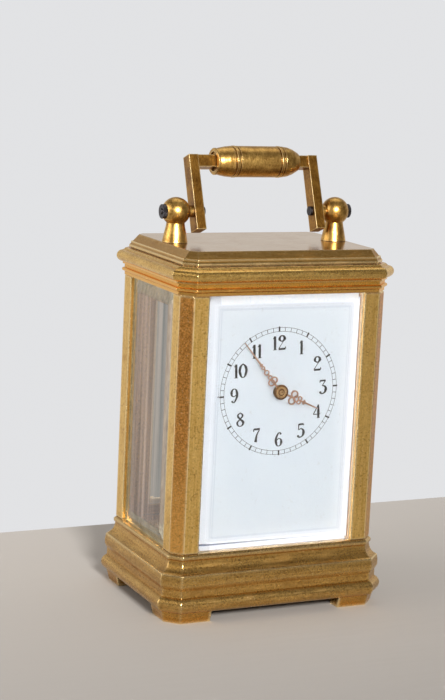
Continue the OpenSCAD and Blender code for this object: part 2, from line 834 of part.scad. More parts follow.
module door_knob() {
    color(gilt) translate([-door_half + door_stile/2, door_y1, knob_z]) rotate([-90, 0, 0])
        rotate_extrude() polygon([[0, -1.1], [small_screw_r, -1.1], [small_screw_r, 0.02],
            [1, 0.02], [0.7, 0.5], [0.7, 0.8], [knob_d/2, 1.1], [knob_d/2, knob_len - 0.4],
            [knob_d/2 - 0.5, knob_len], [0, knob_len]]);
}

module door_pins() {
    color(steel) {
        bar_z([hinge_x, hinge_y], door_z0 - pin_len + 0.2, door_z0 + pin_len - 0.1, pin_r);
        bar_z([hinge_x, hinge_y], door_z1 - pin_len + 0.1, door_z1 + pin_len - 0.2, pin_r);
    }
}

// ---- Dial and hands ----

module dial() {
    w = 2*(gap_x - dial_gap);
    color(enamel) {
        difference() {
            block([-w/2, dial_y0, base_h + 0.05], [w/2, dial_y1, column_top - dial_gap]);
            bar_y(centre_at, dial_y0 - 1, dial_y1 + 1, dial_hole_r);
        }
        for (sx = [-1, 1], z = [foot_low, foot_high])
            bar_y([sx*foot_x, base_h + z], dial_y1, front_y1 + 0.3, dial_foot_r);
    }
}

module leaf_ring(y, r, w) {
    translate([0, y]) difference() {
        circle(r);
        circle(r - w);
    }
}

module pointer(y0, y1, w0, w1) {
    polygon([[-w0/2, y0], [w0/2, y0], [w1/2, y1], [-w1/2, y1]]);
}

module minute_outline() {
    difference() {
        union() {
            circle(hub_r);
            pointer(0, 2.6, 0.45, 0.4);
            both_sides() translate([0.42, 0]) leaf_ring(3.05, 0.75, 0.24);
            pointer(3.5, 3.9, 0.3, 0.3);
            leaf_ring(4.15, 0.5, 0.2);
            pointer(4.4, 5.1, 0.3, 0.3);
            leaf_ring(5.5, 0.6, 0.22);
            pointer(5.9, 6.6, 0.35, 0.3);
            leaf_ring(6.85, 0.4, 0.18);
            translate([0, 7.6]) rotate(45) square(0.6, center = true);
            pointer(7, minute_len, 0.4, 0.15);
        }
        circle(centre_front_r + 0.01);
    }
}

module hour_outline() {
    difference() {
        union() {
            circle(hub_r);
            pointer(0, 3.3, 0.45, 0.4);
            both_sides() translate([0.75, 0]) leaf_ring(3.5, 0.85, 0.26);
            leaf_ring(4.3, 0.7, 0.24);
            both_sides() translate([0.4, 0]) leaf_ring(5.1, 0.5, 0.2);
            pointer(4.7, 6, 0.3, 0.3);
            translate([0, 6.3]) rotate(45) square(0.75, center = true);
            pointer(6, hour_len, 0.42, 0.18);
        }
        circle(cannon_pipe_r + 0.03);
    }
}

module minute_hand() {
    color(gilt) flat_y(centre_at, minute_hand_y - hand_t, minute_hand_y)
        rotate(-6*time_shown) minute_outline();
}

module hour_hand() {
    color(gilt) {
        flat_y(centre_at, hour_hand_y - hand_t, hour_hand_y)
            rotate(hour_behind - time_shown/2) hour_outline();
    }
}

// Turned collet on the front end of the centre arbor
module hand_collet() {
    h = collet_h;
    color(gilt) translate([centre_at[0], minute_hand_y - hand_t, centre_at[1]])
        rotate([90, 0, 0]) difference() {
            rotate_extrude() polygon([[0, 0], [hand_collet_r, 0], [hand_collet_r, 0.4*h],
                [hand_collet_r - 0.2, 0.7*h], [hand_collet_r - 0.6, 0.75*h],
                [hand_collet_r - 0.7, 0.55*h], [hand_collet_r - 0.85, 0.55*h],
                [hand_collet_r - 1, 0.95*h], [0.3, h], [0, h]]);
            translate([0, 0, -1]) cylinder(h = 1 + 0.6*h, r = centre_front_r + 0.01);
        }
}

// ---- Motion work ----

module cannon_pinion() {
    turn = 90;
    color(steel) difference() {
        union() {
            flat_y(centre_at, minute_y0 - 0.1, minute_y1 + 0.05)
                rotate(turn) polygon(pinion_outline(cannon_leaves, cannon_module));
            bar_y(centre_at, minute_hand_y + 0.02, minute_y1 + 0.05, cannon_pipe_r);
        }
        bar_y(centre_at, minute_hand_y - 1, front_y0, cannon_bore_r);
    }
}

module minute_wheel() {
    turn = mesh_turn(minute_teeth, cannon_leaves, 90, bearing(centre_at, minute_at));
    color(brass) difference() {
        union() {
            flat_y(minute_at, minute_y0, minute_y1)
                rotate(turn) polygon(wheel_outline(minute_teeth, cannon_module, cannon_leaves));
            flat_y(minute_at, hour_y0 - 0.15, minute_y0)
                polygon(pinion_outline(minute_leaves, hour_module));
        }
        bar_y(minute_at, hour_y0 - 1, minute_y1 + 1, 0.35 + pivot_play);
        flat_y(minute_at, minute_y0 - eps, minute_y1 + 1) crossings(1.6, 2.9, 4, 0.6);
    }
}

module minute_stud() {
    color(steel) {
        bar_y(minute_at, hour_y0 - 0.35, front_y0 + 0.8, 0.35);
        bar_y(minute_at, minute_y1 + 0.05, front_y0, 0.8);
        bar_y(minute_at, hour_y0 - 0.4, hour_y0 - 0.2, 0.6);
    }
}

module hour_wheel() {
    turn = mesh_turn(hour_teeth, minute_leaves, 0, bearing(minute_at, centre_at));
    color(brass) difference() {
        union() {
            flat_y(centre_at, hour_y0, hour_y1)
                rotate(turn) polygon(wheel_outline(hour_teeth, hour_module, minute_leaves));
            bar_y(centre_at, hour_hand_y + 0.02, hour_y1, hour_pipe_r);
        }
        bar_y(centre_at, hour_hand_y - 1, hour_y1 + 1, cannon_pipe_r + pivot_play);
        flat_y(centre_at, hour_y0 - 1, hour_y1 + 1) crossings(1.8, 3.2, 4, 0.6);
    }
}

// Openings between the arms of a wheel
module crossings(inner, outer, arms, arm) {
    difference() {
        circle(outer);
        circle(inner);
        for (i = [0:arms - 1]) rotate(i*360/arms) translate([0, -arm/2]) square([2*outer, arm]);
    }
}

// ---- Plates ----

module at_pillars() {
    for (sx = [-1, 1], z = [pillar_low, pillar_high]) translate([sx*pillar_x, 0, z]) children();
}

module plate(y0, y1) {
    edge = 1.2;
    flat_y([0, plate_z0], y0, y1) polygon([[-plate_w/2, 0], [plate_w/2, 0],
        [plate_w/2, plate_h - edge], [plate_w/2 - edge, plate_h],
        [edge - plate_w/2, plate_h], [-plate_w/2, plate_h - edge]]);
}

module platform_holes(z0, z1, r) {
    for (sx = [-1, 1], y = [front_y0 + plate_t/2, back_y0 + plate_t/2])
        bar_z([sx*platform_screw_x, y], z0, z1, r);
}

module front_plate() {
    color(brass) difference() {
        plate(front_y0, front_y1);
        at_pillars() bar_y([0, 0], front_y0 - 1, front_y1 + 1, small_screw_r + screw_play);
        bar_y(centre_at, front_y0 - 1, front_y1 + 1, centre_pivot_r + pivot_play);
        bar_y(barrel_at, front_y0 - 1, front_y1 + 1, barrel_pivot_r + pivot_play);
        for (at = [third_at, contrate_at])
            bar_y(at, front_y0 - 1, front_y1 + 1, train_pivot_r + pivot_play);
        bar_y(minute_at, front_y0 - 1, front_y0 + 0.9, 0.35 + screw_play);
        for (sx = [-1, 1], z = [foot_low, foot_high])
            bar_y([sx*foot_x, base_h + z], front_y0 - 1, front_y1 + 1,
                dial_foot_r + screw_play);
        platform_holes(platform_z0 - 2.2, platform_z0 + 1, 0.35 + screw_play);
    }
}

module back_plate() {
    color(brass) difference() {
        plate(back_y0, back_y1);
        at_pillars() bar_y([0, 0], back_y0 - 1, back_y1 + 1, small_screw_r + screw_play);
        bar_y(centre_at, back_y0 - 1, back_y1 + 1, centre_pivot_r + pivot_play);
        bar_y(barrel_at, back_y0 - 1, back_y1 + 1, winding_pivot_r + pivot_play);
        for (at = [third_at, contrate_at])
            bar_y(at, back_y0 - 1, back_y1 + 1, train_pivot_r + pivot_play);
        bar_y(barrel_at + click_at, back_y0 - 1, back_y1 + 1, 0.5 + screw_play);
        bar_y(barrel_at + spring_at, back_y0 - 1, back_y1 + 1, 0.45 + screw_play);
        platform_holes(platform_z0 - 2.2, platform_z0 + 1, 0.35 + screw_play);
    }
}

module plate_pillars() {
    color(brass) difference() {
        at_pillars() rotate([90, 0, 0]) translate([0, 0, -back_y0]) rotate_extrude() {
            difference() {
                square([pillar_r, plate_gap]);
                for (y = [1.6, plate_gap - 1.6])
                    translate([pillar_r + 0.1, y]) circle(0.35);
            }
        }
        at_pillars() bar_y([0, 0], front_y1 - 1, front_y1 + 3, small_screw_r + screw_play);
        at_pillars() bar_y([0, 0], back_y0 - 3, back_y0 + 1, small_screw_r + screw_play);
        for (sx = [-1, 1]) bar_z([sx*pillar_x, (front_y1 + back_y0)/2], base_h,
            pillar_low + 0.1, case_screw_r + screw_play);
    }
}

module plate_screws() {
    color(blued) at_pillars() {
        translate([0, front_y0 - small_head_h, 0]) rotate([-90, 0, 0])
            screw(small_screw_r, small_head_r, small_head_h, plate_t + 2.8);
        translate([0, back_y1 + small_head_h, 0]) rotate([90, 0, 0])
            screw(small_screw_r, small_head_r, small_head_h, plate_t + 2.8);
    }
}

// ---- Barrel and winding work ----

module barrel_drum() {
    inner_r = drum_r - drum_wall;
    color(brass) difference() {
        union() {
            bar_y(barrel_at, drum_y0, drum_y1, drum_r);
            flat_y(barrel_at, drum_y1 - rim_len, drum_y1)
                polygon(wheel_outline(barrel_teeth, barrel_module, centre_leaves));
        }
        bar_y(barrel_at, drum_y0 + drum_end, drum_y1 + 1, inner_r);
        bar_y(barrel_at, drum_y0 - 1, drum_y1, barrel_arbor_r + pivot_play);
    }
}

module barrel_cover() {
    color(brass) difference() {
        bar_y(barrel_at, drum_y1 - cover_t, drum_y1, drum_r - drum_wall - 0.02);
        bar_y(barrel_at, drum_y1 - 1, drum_y1 + 1, barrel_arbor_r + pivot_play);
        bar_y(barrel_at + [drum_r - 2.2, 0], drum_y1 - 1, drum_y1 + 1, 0.6);
    }
}

module mainspring() {
    color(blued) flat_y(barrel_at, drum_y0 + drum_end + 0.2, drum_y1 - cover_t - 0.2)
        polygon(spiral_outline(barrel_arbor_r + 0.15, drum_r - drum_wall - 0.35, 9, 0.25, 0));
}

module barrel_arbor() {
    color(steel) {
        bar_y(barrel_at, drum_y0 - 0.2, drum_y1 + 0.2, barrel_arbor_r);
        bar_y(barrel_at, front_y0 + 0.1, drum_y0 - 0.2, barrel_pivot_r);
        bar_y(barrel_at, front_y1 + end_play, drum_y0 - 0.2, barrel_arbor_r);
        bar_y(barrel_at, drum_y1 + 0.2, back_y0 - end_play, barrel_arbor_r);
        bar_y(barrel_at, back_y0 - end_play, back_y1 + 0.1, winding_pivot_r);
        flat_y(barrel_at, back_y1 + 0.1, winding_end) square(winding_square, center = true);
    }
}

module ratchet_wheel() {
    root = ratchet_r - 0.75;
    step = 360/ratchet_teeth;
    color(steel) difference() {
        flat_y(barrel_at, click_y0, click_y0 + click_t) difference() {
            polygon(ring_of(ratchet_teeth, [[root, 0], [ratchet_r, 0.06*step],
                [ratchet_r, 0.14*step]]));
            square(winding_square + 2*square_play, center = true);
        }
    }
}

// Click with its nose just clear of the tooth tips, drawn from the ratchet's axis
module click() {
    nose = polar(ratchet_r + click_gap, 180);
    color(steel) {
        flat_y(barrel_at, click_y0, click_y0 + click_t) {
            translate(click_at) circle(1.15);
            polygon([click_at + [1.1, 0.35], click_at + [-1.1, -0.35], nose + [-0.9, -0.45], nose,
                nose + [-0.05, 0.3]]);
        }
        bar_y(barrel_at + click_at, back_y0 + 0.1, click_y0 + click_t, 0.5);
    }
}

// Its blade stands off by the click's lift, because a rigid spring can't give way
module click_spring() {
    bearing_point = click_at + [-0.25 - click_lift, -2.2];
    color(blued) {
        bar_y(barrel_at + spring_at, back_y0 + 0.1, click_y0 + click_t + 0.2, 0.45);
        flat_y(barrel_at, click_y0, click_y0 + click_t) {
            translate(spring_at) circle(0.9);
            polygon([spring_at + [-0.3, 0], spring_at + [0.1, 0], bearing_point + [0, 0.2],
                bearing_point, bearing_point + [-0.25, 0]]);
        }
    }
}

// ---- Train ----

module wheel_on(at, y, outline, outer, arms) {
    color(brass) difference() {
        union() {
            flat_y(at, y, y + wheel_t) difference() {
                polygon(outline);
                crossings(collet_r + 0.3, outer, arms, 1);
            }
            bar_y(at, y, y + wheel_t + collet_t, collet_r);
        }
        children();
    }
}

// Arbor along Y with a pivot at each end
module train_arbor(at, leaves, size, turn, y0, y1) {
    color(steel) {
        bar_y(at, front_y1 + end_play, back_y0 - end_play, train_r);
        bar_y(at, front_y0 + 0.1, front_y1 + end_play, train_pivot_r);
        bar_y(at, back_y0 - end_play, back_y1 - 0.1, train_pivot_r);
        flat_y(at, y0, y1) rotate(turn) polygon(pinion_outline(leaves, size));
    }
}

module centre_arbor() {
    turn = mesh_turn(centre_leaves, barrel_teeth, 0, bearing(barrel_at, centre_at));
    color(steel) {
        bar_y(centre_at, front_y1 + end_play, back_y0 - end_play, centre_r);
        bar_y(centre_at, minute_hand_y - hand_t - collet_h/2, front_y0 + eps, centre_front_r);
        bar_y(centre_at, front_y0 - 0.02, front_y1 + end_play, centre_pivot_r);
        bar_y(centre_at, back_y0 - end_play, back_y1 + 0.1, centre_pivot_r);
        flat_y(centre_at, back_y1 + 0.1, setting_end) square(setting_square, center = true);
        flat_y(centre_at, drum_y1 - rim_len - 0.4, drum_y1 + 0.3)
            rotate(turn) polygon(pinion_outline(centre_leaves, barrel_module));
    }
}

module centre_wheel() {
    wheel_on(centre_at, centre_y, wheel_outline(centre_teeth, centre_module, third_leaves),
        centre_teeth*centre_module/2 - 1, 5)
        bar_y(centre_at, centre_y - 1, centre_y + 3, centre_r + square_play);
}

module third_arbor() {
    turn = mesh_turn(third_leaves, centre_teeth, 0, bearing(centre_at, third_at));
    train_arbor(third_at, third_leaves, centre_module, turn, centre_y - 0.5,
        centre_y + wheel_t + 0.5);
}

module third_wheel() {
    wheel_on(third_at, third_y, wheel_outline(third_teeth, third_module, contrate_leaves),
        third_teeth*third_module/2 - 0.9, 5)
        bar_y(third_at, third_y - 1, third_y + 3, train_r + square_play);
}

module contrate_arbor() {
    turn = mesh_turn(contrate_leaves, third_teeth, 0, bearing(third_at, contrate_at));
    train_arbor(contrate_at, contrate_leaves, third_module, turn, third_y - 0.4,
        third_y + wheel_t + 0.4);
}

// Crown wheel: a cup whose rim carries straight teeth that taper to their tips
module contrate_wheel() {
    inner = contrate_r - crown_w;
    pitch = 2*PI*(contrate_r - crown_w/2)/contrate_teeth;
    floor_y = contrate_y + wheel_t;
    root_y = crown_tip_y - crown_h;
    color(brass) {
        difference() {
            union() {
                flat_y(contrate_at, contrate_y, floor_y) difference() {
                    circle(contrate_r);
                    crossings(collet_r + 0.3, inner - 0.4, 4, 0.8);
                }
                bar_y(contrate_at, contrate_y, floor_y + collet_t, collet_r);
            }
            bar_y(contrate_at, contrate_y - 1, floor_y + 3, train_r + square_play);
        }
        translate([contrate_at[0], 0, contrate_at[1]])
            for (i = [0:contrate_teeth - 1]) rotate([0, (i + 0.5)*360/contrate_teeth, 0])
                translate([0, 0, inner + 0.02]) linear_extrude(crown_w - 0.05) polygon([
                    [-0.26*pitch, root_y - 0.1], [0.26*pitch, root_y - 0.1], [0.22*pitch, crown_tip_y - 0.45],
                    [0.1*pitch, crown_tip_y], [-0.1*pitch, crown_tip_y],
                    [-0.22*pitch, crown_tip_y - 0.45]]);
    }
}

// ---- Platform escapement ----

module escape_arbor() {
    at = [escape_x, escape_y];
    z0 = crown_top - 2.6;
    color(steel) {
        bar_z(at, z0, pallet_cock_z - 0.05, 0.25);
        bar_z(at, z0 - 0.6, z0, fine_pivot_r);
        bar_z(at, pallet_cock_z - 0.06, pallet_cock_z + 0.5, fine_pivot_r);
        translate([at[0], at[1], crown_top - crown_w - 0.4])
            linear_extrude(crown_w + 0.6) rotate(-90)
            polygon(pinion_outline(escape_leaves, 2*escape_pitch_r/escape_leaves));
    }
}

module escape_wheel() {
    root = escape_r - 0.75;
    step = 360/escape_teeth;
    color(brass) translate([escape_x, escape_y, 0]) flat_z(lever_z, lever_z + 0.4) {
        difference() {
            polygon(ring_of(escape_teeth, [[root, -0.3*step], [root + 0.35, -0.2*step],
                [escape_r - 0.12, -0.16*step], [escape_r, 0.02*step],
                [escape_r - 0.3, -0.02*step], [root, 0.02*step]]));
            crossings(0.8, root - 0.35, 4, 0.35);
            circle(0.25 + square_play);
        }
    }
}

// Pallets, fork and staff in one piece, with the pallets just clear of the teeth
module lever() {
    at = [lever_at, escape_y];
    reach = escape_r + 0.07;
    hook = [escape_x - lever_at - reach*cos(30), reach*sin(30)];
    color(steel) {
        translate([at[0], at[1], 0]) flat_z(lever_z, lever_z + lever_t) {
            circle(0.6);
            polygon([[0, -0.28], [0, 0.28], [-lever_len + 0.6, 0.16], [-lever_len + 0.6, -0.16]]);
            mirror_copy([0, 1]) {
                polygon([[-0.3, 0], [0.35, 0], [hook[0] + 0.1, hook[1] + 0.75],
                    [hook[0] - 0.6, hook[1] + 0.95]]);
                polygon([hook + [-0.5, 0.95], hook + [0.12, 0.75], hook + [0.1, 0.1],
                    hook + [-0.1, 0], hook + [-0.35, 0.25]]);
                polygon([[-lever_len + 0.8, 0.1], [-lever_len + 0.55, 0.5],
                    [-lever_len + 0.05, 0.55], [-lever_len + 0.1, 0.2],
                    [-lever_len + 0.45, 0.14]]);
            }
        }
        bar_z(at, platform_z1 + 0.05, pallet_cock_z - 0.05, 0.25);
        bar_z(at, platform_z1 - 0.6, platform_z1 + 0.06, fine_pivot_r);
        bar_z(at, pallet_cock_z - 0.06, pallet_cock_z + 0.5, fine_pivot_r);
    }
}

module platform() {
    color(brass) difference() {
        union() {
            block([platform_x0, front_y0, platform_z0], [platform_x1, back_y1, platform_z1]);
        }
        platform_holes(platform_z0 - 1, platform_z1 + 1, 0.35 + screw_play);
        bar_z([escape_x, escape_y], platform_z0 - 1, platform_z1 + 1, 1);
        for (x = [lever_at, balance_x]) bar_z([x, escape_y], platform_z1 - 0.8,
            platform_z1 + 1, fine_pivot_r + fine_play);
        bar_z(pallet_screw, platform_z0 - 1, platform_z1 + 1, 0.35 + screw_play);
        bar_z(balance_screw, platform_z0 - 1, platform_z1 + 1, 0.45 + screw_play);
        bar_z(potence_screw, platform_z0 - 1, platform_z1 + 1, 0.35 + screw_play);
    }
}

pallet_screw = [(lever_at + escape_x)/2, escape_y - escape_r - 1.35];
balance_screw = [(cock_foot_x0 + cock_foot_x1)/2, escape_y];
potence_screw = [escape_x, escape_y + 2.4];

module pallet_cock() {
    x0 = lever_at - 0.9;
    x1 = escape_x + 0.9;
    foot_y = pallet_screw[1];
    color(gilt) difference() {
        union() {
            flat_z(pallet_cock_z, pallet_cock_z + cock_t) {
                translate([x0, foot_y - 0.9]) square([x1 - x0, escape_y - foot_y + 0.9]);
                for (x = [x0 + 0.9, x1 - 0.9]) translate([x, escape_y]) circle(0.9);
            }
            block([x0, foot_y - 0.9, platform_z1], [x1, foot_y + 0.9, pallet_cock_z + eps]);
        }
        for (x = [lever_at, escape_x]) bar_z([x, escape_y], pallet_cock_z - 1,
            pallet_cock_z + cock_t + 1, fine_pivot_r + fine_play);
        bar_z(pallet_screw, platform_z1 - 1, balance_z, 0.35 + screw_play);
    }
}

module balance_cock() {
    top = balance_cock_z + cock_t;
    stud_at = [balance_x, escape_y] + polar(spring_outer + spring_blade + 0.28, stud_angle);
    color(gilt) difference() {
        union() {
            flat_z(balance_cock_z, top) {
                translate([balance_x, escape_y]) circle(1.7);
                polygon([[cock_foot_x0, escape_y - cock_foot_w/2],
                    [cock_foot_x1, escape_y - cock_foot_w/2],
                    [balance_x, escape_y - 1.3], [balance_x, escape_y + 1.3],
                    [cock_foot_x1, escape_y + cock_foot_w/2],
                    [cock_foot_x0, escape_y + cock_foot_w/2]]);
            }
            block([cock_foot_x0, escape_y - cock_foot_w/2, platform_z1],
                [cock_foot_x1, escape_y + cock_foot_w/2, balance_cock_z + eps]);
            bar_z([balance_x, escape_y], top - eps, boss_top, 0.9);
            bar_z(stud_at, spring_z, balance_cock_z + eps, 0.25);
        }
        bar_z([balance_x, escape_y], balance_cock_z - 1, balance_cock_z + 0.6,
            fine_pivot_r + fine_play);
        bar_z(balance_screw, platform_z1 - 1, top + 1, 0.45 + screw_play);
    }
}

// Bracket under the platform that carries the foot of the escape arbor
module potence() {
    z0 = crown_top - 2.6 - 0.8;
    leg0 = escape_y + 1.6;
    leg1 = escape_y + 3.2;
    color(brass) difference() {
        union() {
            block([escape_x - potence_w/2, leg0, z0], [escape_x + potence_w/2, leg1, platform_z0]);
            block([escape_x - potence_w/2, escape_y - 0.8, z0],
                [escape_x + potence_w/2, leg1, z0 + 0.75]);
        }
        bar_z([escape_x, escape_y], z0 - 1, z0 + 2, fine_pivot_r + fine_play);
        bar_z(potence_screw, platform_z0 - 2, platform_z0 + 1, 0.35 + screw_play);
    }
}

module platform_screws() {
    color(blued) {
        for (sx = [-1, 1], y = [front_y0 + plate_t/2, back_y0 + plate_t/2])
            translate([sx*platform_screw_x, y, platform_z1 + 0.4]) mirror([0, 0, 1])
                screw(0.35, 0.75, 0.4, platform_t + 2);
        translate([pallet_screw[0], pallet_screw[1], pallet_cock_z + cock_t + 0.4])
            mirror([0, 0, 1]) screw(0.35, 0.75, 0.4, pallet_cock_z + cock_t - platform_z0 - 0.2);
        translate([potence_screw[0], potence_screw[1], platform_z1 + 0.4])
            mirror([0, 0, 1]) screw(0.35, 0.75, 0.4, platform_t + 1.8);
        translate([balance_screw[0], balance_screw[1], balance_cock_z + cock_t + 0.5])
            mirror([0, 0, 1])
            screw(0.45, 1, 0.5, balance_cock_z + cock_t - platform_z0 - 0.2);
    }
}

module balance_wheel() {
    rim = 0.6;
    screws = 12;
    color(gilt) translate([balance_x, escape_y, 0]) {
        difference() {
            flat_z(balance_z, balance_z + balance_t) {
                difference() {
                    circle(balance_r);
                    circle(balance_r - rim);
                }
                for (a = [0, 90]) rotate(a) square([2*balance_r - rim, 0.7], center = true);
                circle(0.9);
            }
            bar_z([0, 0], balance_z - 1, balance_z + 2, staff_r + square_play);
        }
        for (i = [0:screws - 1]) rotate([0, 0, (i + 0.5)*360/screws])
            translate([balance_r - 0.1, 0, balance_z + balance_t/2]) rotate([0, 90, 0])
                cylinder(h = 0.5, r = 0.28);
    }
}

// Staff with the roller and its pin, whose tip stops just above the fork
module balance_staff() {
    at = [balance_x, escape_y];
    roller_z = lever_z + lever_t + 0.35;
    color(steel) {
        bar_z(at, platform_z1 + 0.05, balance_cock_z - 0.05, staff_r);
        bar_z(at, platform_z1 - 0.6, platform_z1 + 0.06, fine_pivot_r);
        bar_z(at, balance_cock_z - 0.06, balance_cock_z + 0.5, fine_pivot_r);
        bar_z(at, roller_z, roller_z + 0.3, roller_r);
        bar_z(at + [0.7, 0], lever_z + lever_t + 0.05, roller_z + eps, 0.12);
        bar_z(at, spring_z - 0.1, spring_z + spring_h + 0.1, 0.52);
    }
}

module hairspring() {
    color(blued) translate([balance_x, escape_y, 0]) flat_z(spring_z, spring_z + spring_h)
        polygon(spiral_outline(spring_inner, spring_outer, spring_turns, spring_blade,
            stud_angle - spring_turns*360));
}

module regulator() {
    z0 = balance_cock_z + cock_t + 0.05;
    color(steel) translate([balance_x, escape_y, 0]) difference() {
        union() {
            bar_z([0, 0], z0, z0 + 0.3, 1.5);
            flat_z(z0, z0 + 0.3) rotate(150) translate([1.1, -0.25]) square([2, 0.5]);
            flat_z(z0, z0 + 0.3) rotate(-20)
                polygon([[1.1, -0.3], [5, -0.12], [5, 0.12], [1.1, 0.3]]);
        }
        bar_z([0, 0], z0 - 1, z0 + 1, 0.9 + pivot_play);
    }
}

base_moulding();
column_front_left();
column_front_right();
column_back_left();
column_back_right();
cornice();
top_moulding();
front_glass();
left_glass();
right_glass();
case_screws();
movement_screws();
handle_post_left();
handle_post_right();
handle_arm_left();
handle_arm_right();
handle_grip();
handle_screws();
handle_nuts();
door_frame();
door_glass();
door_knob();
door_pins();
dial();
hour_hand();
minute_hand();
hand_collet();
cannon_pinion();
minute_wheel();
hour_wheel();
minute_stud();
front_plate();
back_plate();
plate_pillars();
plate_screws();
barrel_drum();
barrel_cover();
mainspring();
barrel_arbor();
ratchet_wheel();
click();
click_spring();
centre_arbor();
centre_wheel();
third_arbor();
third_wheel();
contrate_arbor();
contrate_wheel();
escape_arbor();
escape_wheel();
platform();
platform_screws();
pallet_cock();
balance_cock();
potence();
lever();
balance_wheel();
balance_staff();
hairspring();
regulator();
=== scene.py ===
"""Looks of the miniature carriage clock: worn gilt brass, bevelled glass, enamel dial."""
import math

import bmesh
import bpy
from mathutils import Matrix, Vector


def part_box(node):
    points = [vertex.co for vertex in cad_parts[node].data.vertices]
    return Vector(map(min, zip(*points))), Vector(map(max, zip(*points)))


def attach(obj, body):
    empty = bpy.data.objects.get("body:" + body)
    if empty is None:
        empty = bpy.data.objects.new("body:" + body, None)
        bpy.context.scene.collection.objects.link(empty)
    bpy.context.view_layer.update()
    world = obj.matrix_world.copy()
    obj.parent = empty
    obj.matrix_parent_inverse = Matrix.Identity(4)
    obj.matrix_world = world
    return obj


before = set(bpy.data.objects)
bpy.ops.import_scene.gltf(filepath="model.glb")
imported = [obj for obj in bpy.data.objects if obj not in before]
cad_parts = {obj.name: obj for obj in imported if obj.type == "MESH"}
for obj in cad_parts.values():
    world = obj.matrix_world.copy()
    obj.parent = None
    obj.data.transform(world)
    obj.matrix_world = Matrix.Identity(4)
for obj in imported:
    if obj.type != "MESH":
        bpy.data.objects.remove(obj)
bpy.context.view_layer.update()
MM = 0.001
X, Y, Z = range(3)


# ---- Shader helpers ----

class Shade:
    """A shader socket that takes part in arithmetic."""

    def __init__(self, finish, socket):
        self.finish = finish
        self.socket = socket

    def _math(self, operation, *values):
        return self.finish.node("ShaderNodeMath", {"operation": operation},
                                dict(enumerate(values)))

    def __add__(self, other):
        return self._math("ADD", self, other)

    def __radd__(self, other):
        return self._math("ADD", other, self)

    def __sub__(self, other):
        return self._math("SUBTRACT", self, other)

    def __rsub__(self, other):
        return self._math("SUBTRACT", other, self)

    def __mul__(self, other):
        return self._math("MULTIPLY", self, other)

    def __rmul__(self, other):
        return self._math("MULTIPLY", other, self)

    def __pow__(self, other):
        return self._math("POWER", self, other)

    def __gt__(self, other):
        return self._math("GREATER_THAN", self, other)

    def __lt__(self, other):
        return self._math("LESS_THAN", self, other)

    def __abs__(self):
        return self._math("ABSOLUTE", self)

    def least(self, other):
        return self._math("MINIMUM", self, other)

    def between(self, low, high):
        """Zero at low, one at high, clamped."""
        return self.finish.node("ShaderNodeMapRange", {"clamp": True},
                                {0: self, 1: low, 2: high, 3: 0.0, 4: 1.0})


class Finish:
    """A material under construction."""

    def __init__(self, name):
        self.material = bpy.data.materials.new(name)
        self.material.use_nodes = True
        self.tree = self.material.node_tree
        self.tree.nodes.clear()

    def node(self, kind, settings=None, inputs=None, output=0):
        """Adds a node, and gives one of its outputs if it has any."""
        made = self.tree.nodes.new(kind)
        for key, value in (settings or {}).items():
            setattr(made, key, value)
        for key, value in (inputs or {}).items():
            socket = made.inputs[key]
            if isinstance(value, Shade):
                self.tree.links.new(value.socket, socket)
            else:
                socket.default_value = value
        return Shade(self, made.outputs[output]) if made.outputs else None

    def place(self, scale=(1.0, 1.0, 1.0), shift=(0.0, 0.0, 0.0)):
        """Object coordinates in millimetres, stretched by scale."""
        where = self.node("ShaderNodeTexCoord", output=3)
        return self.node("ShaderNodeMapping", {"vector_type": "POINT"}, {
            "Vector": where, "Scale": tuple(s / MM for s in scale), "Location": shift})

    def along(self, axis, shift=(0.0, 0.0, 0.0)):
        """Millimetres along one axis of the object."""
        return self.node("ShaderNodeSeparateXYZ", None, {0: self.place(shift=shift)},
                         output=axis)

    def noise(self, size, stretch=(1.0, 1.0, 1.0), detail=3.0, roughness=0.5, shift=0.0):
        """Noise whose features are about size millimetres across."""
        return self.node("ShaderNodeTexNoise", None, {
            "Vector": self.place(tuple(s / size for s in stretch), (shift, shift * 0.7, 0.0)),
            "Scale": 1.0, "Detail": detail, "Roughness": roughness})

    def mix(self, factor, first, second):
        """Colour between first and second."""
        values = {0: factor}
        for key, colour in ((6, first), (7, second)):
            values[key] = colour if isinstance(colour, Shade) else (*colour, 1.0)
        return self.node("ShaderNodeMix", {"data_type": "RGBA"}, values, output=2)

    def crevice(self, distance, inside=False):
        """One in the open, nearing zero in a crevice, or at an edge if inside."""
        return self.node("ShaderNodeAmbientOcclusion", {"samples": 8, "inside": inside},
                         {"Distance": distance * MM}, output=1)

    def eased(self, radius):
        """Normal with the edges rounded."""
        return self.node("ShaderNodeBevel", {"samples": 6}, {"Radius": radius * MM})

    def bump(self, height, depth, under=None):
        """Normal with a relief of depth millimetres, laid over the normal under it."""
        inputs = {"Strength": 1.0, "Distance": depth * MM, "Height": height}
        if under is not None:
            inputs["Normal"] = under
        return self.node("ShaderNodeBump", None, inputs)

    def surface(self, **sockets):
        """Ends the material, with an underscore for each space in a socket's name."""
        names = {key.replace("_", " "): value for key, value in sockets.items()}
        for key in ("Base Color", "Emission Color"):
            if key in names and not isinstance(names[key], Shade):
                names[key] = (*names[key], 1.0)
        shader = self.node("ShaderNodeBsdfPrincipled", None, names)
        self.node("ShaderNodeOutputMaterial", None, {"Surface": shader})
        return self.material


# ---- Brass and movement metals ----

# Grain that runs level with the mouldings, or up the columns
ALONG = (0.05, 0.05, 1.0)
UPRIGHT = (1.0, 1.0, 0.05)

GOLD = (0.97, 0.66, 0.22)
DEEP_GOLD = (0.62, 0.35, 0.075)
UMBER = (0.34, 0.15, 0.03)
# Painted warm bounce light, laid in the sheltered hollows
HOLLOW_BOUNCE_GLOW = (0.64, 0.28, 0.035)
# Painted shade, darker in the narrow crevices
QUIRK_SHADE = (0.13, 0.045, 0.01)
# Painted highlight along the edges, with some rubbed wear
RUBBED_EDGE_HIGHLIGHT = (0.97, 0.75, 0.38)
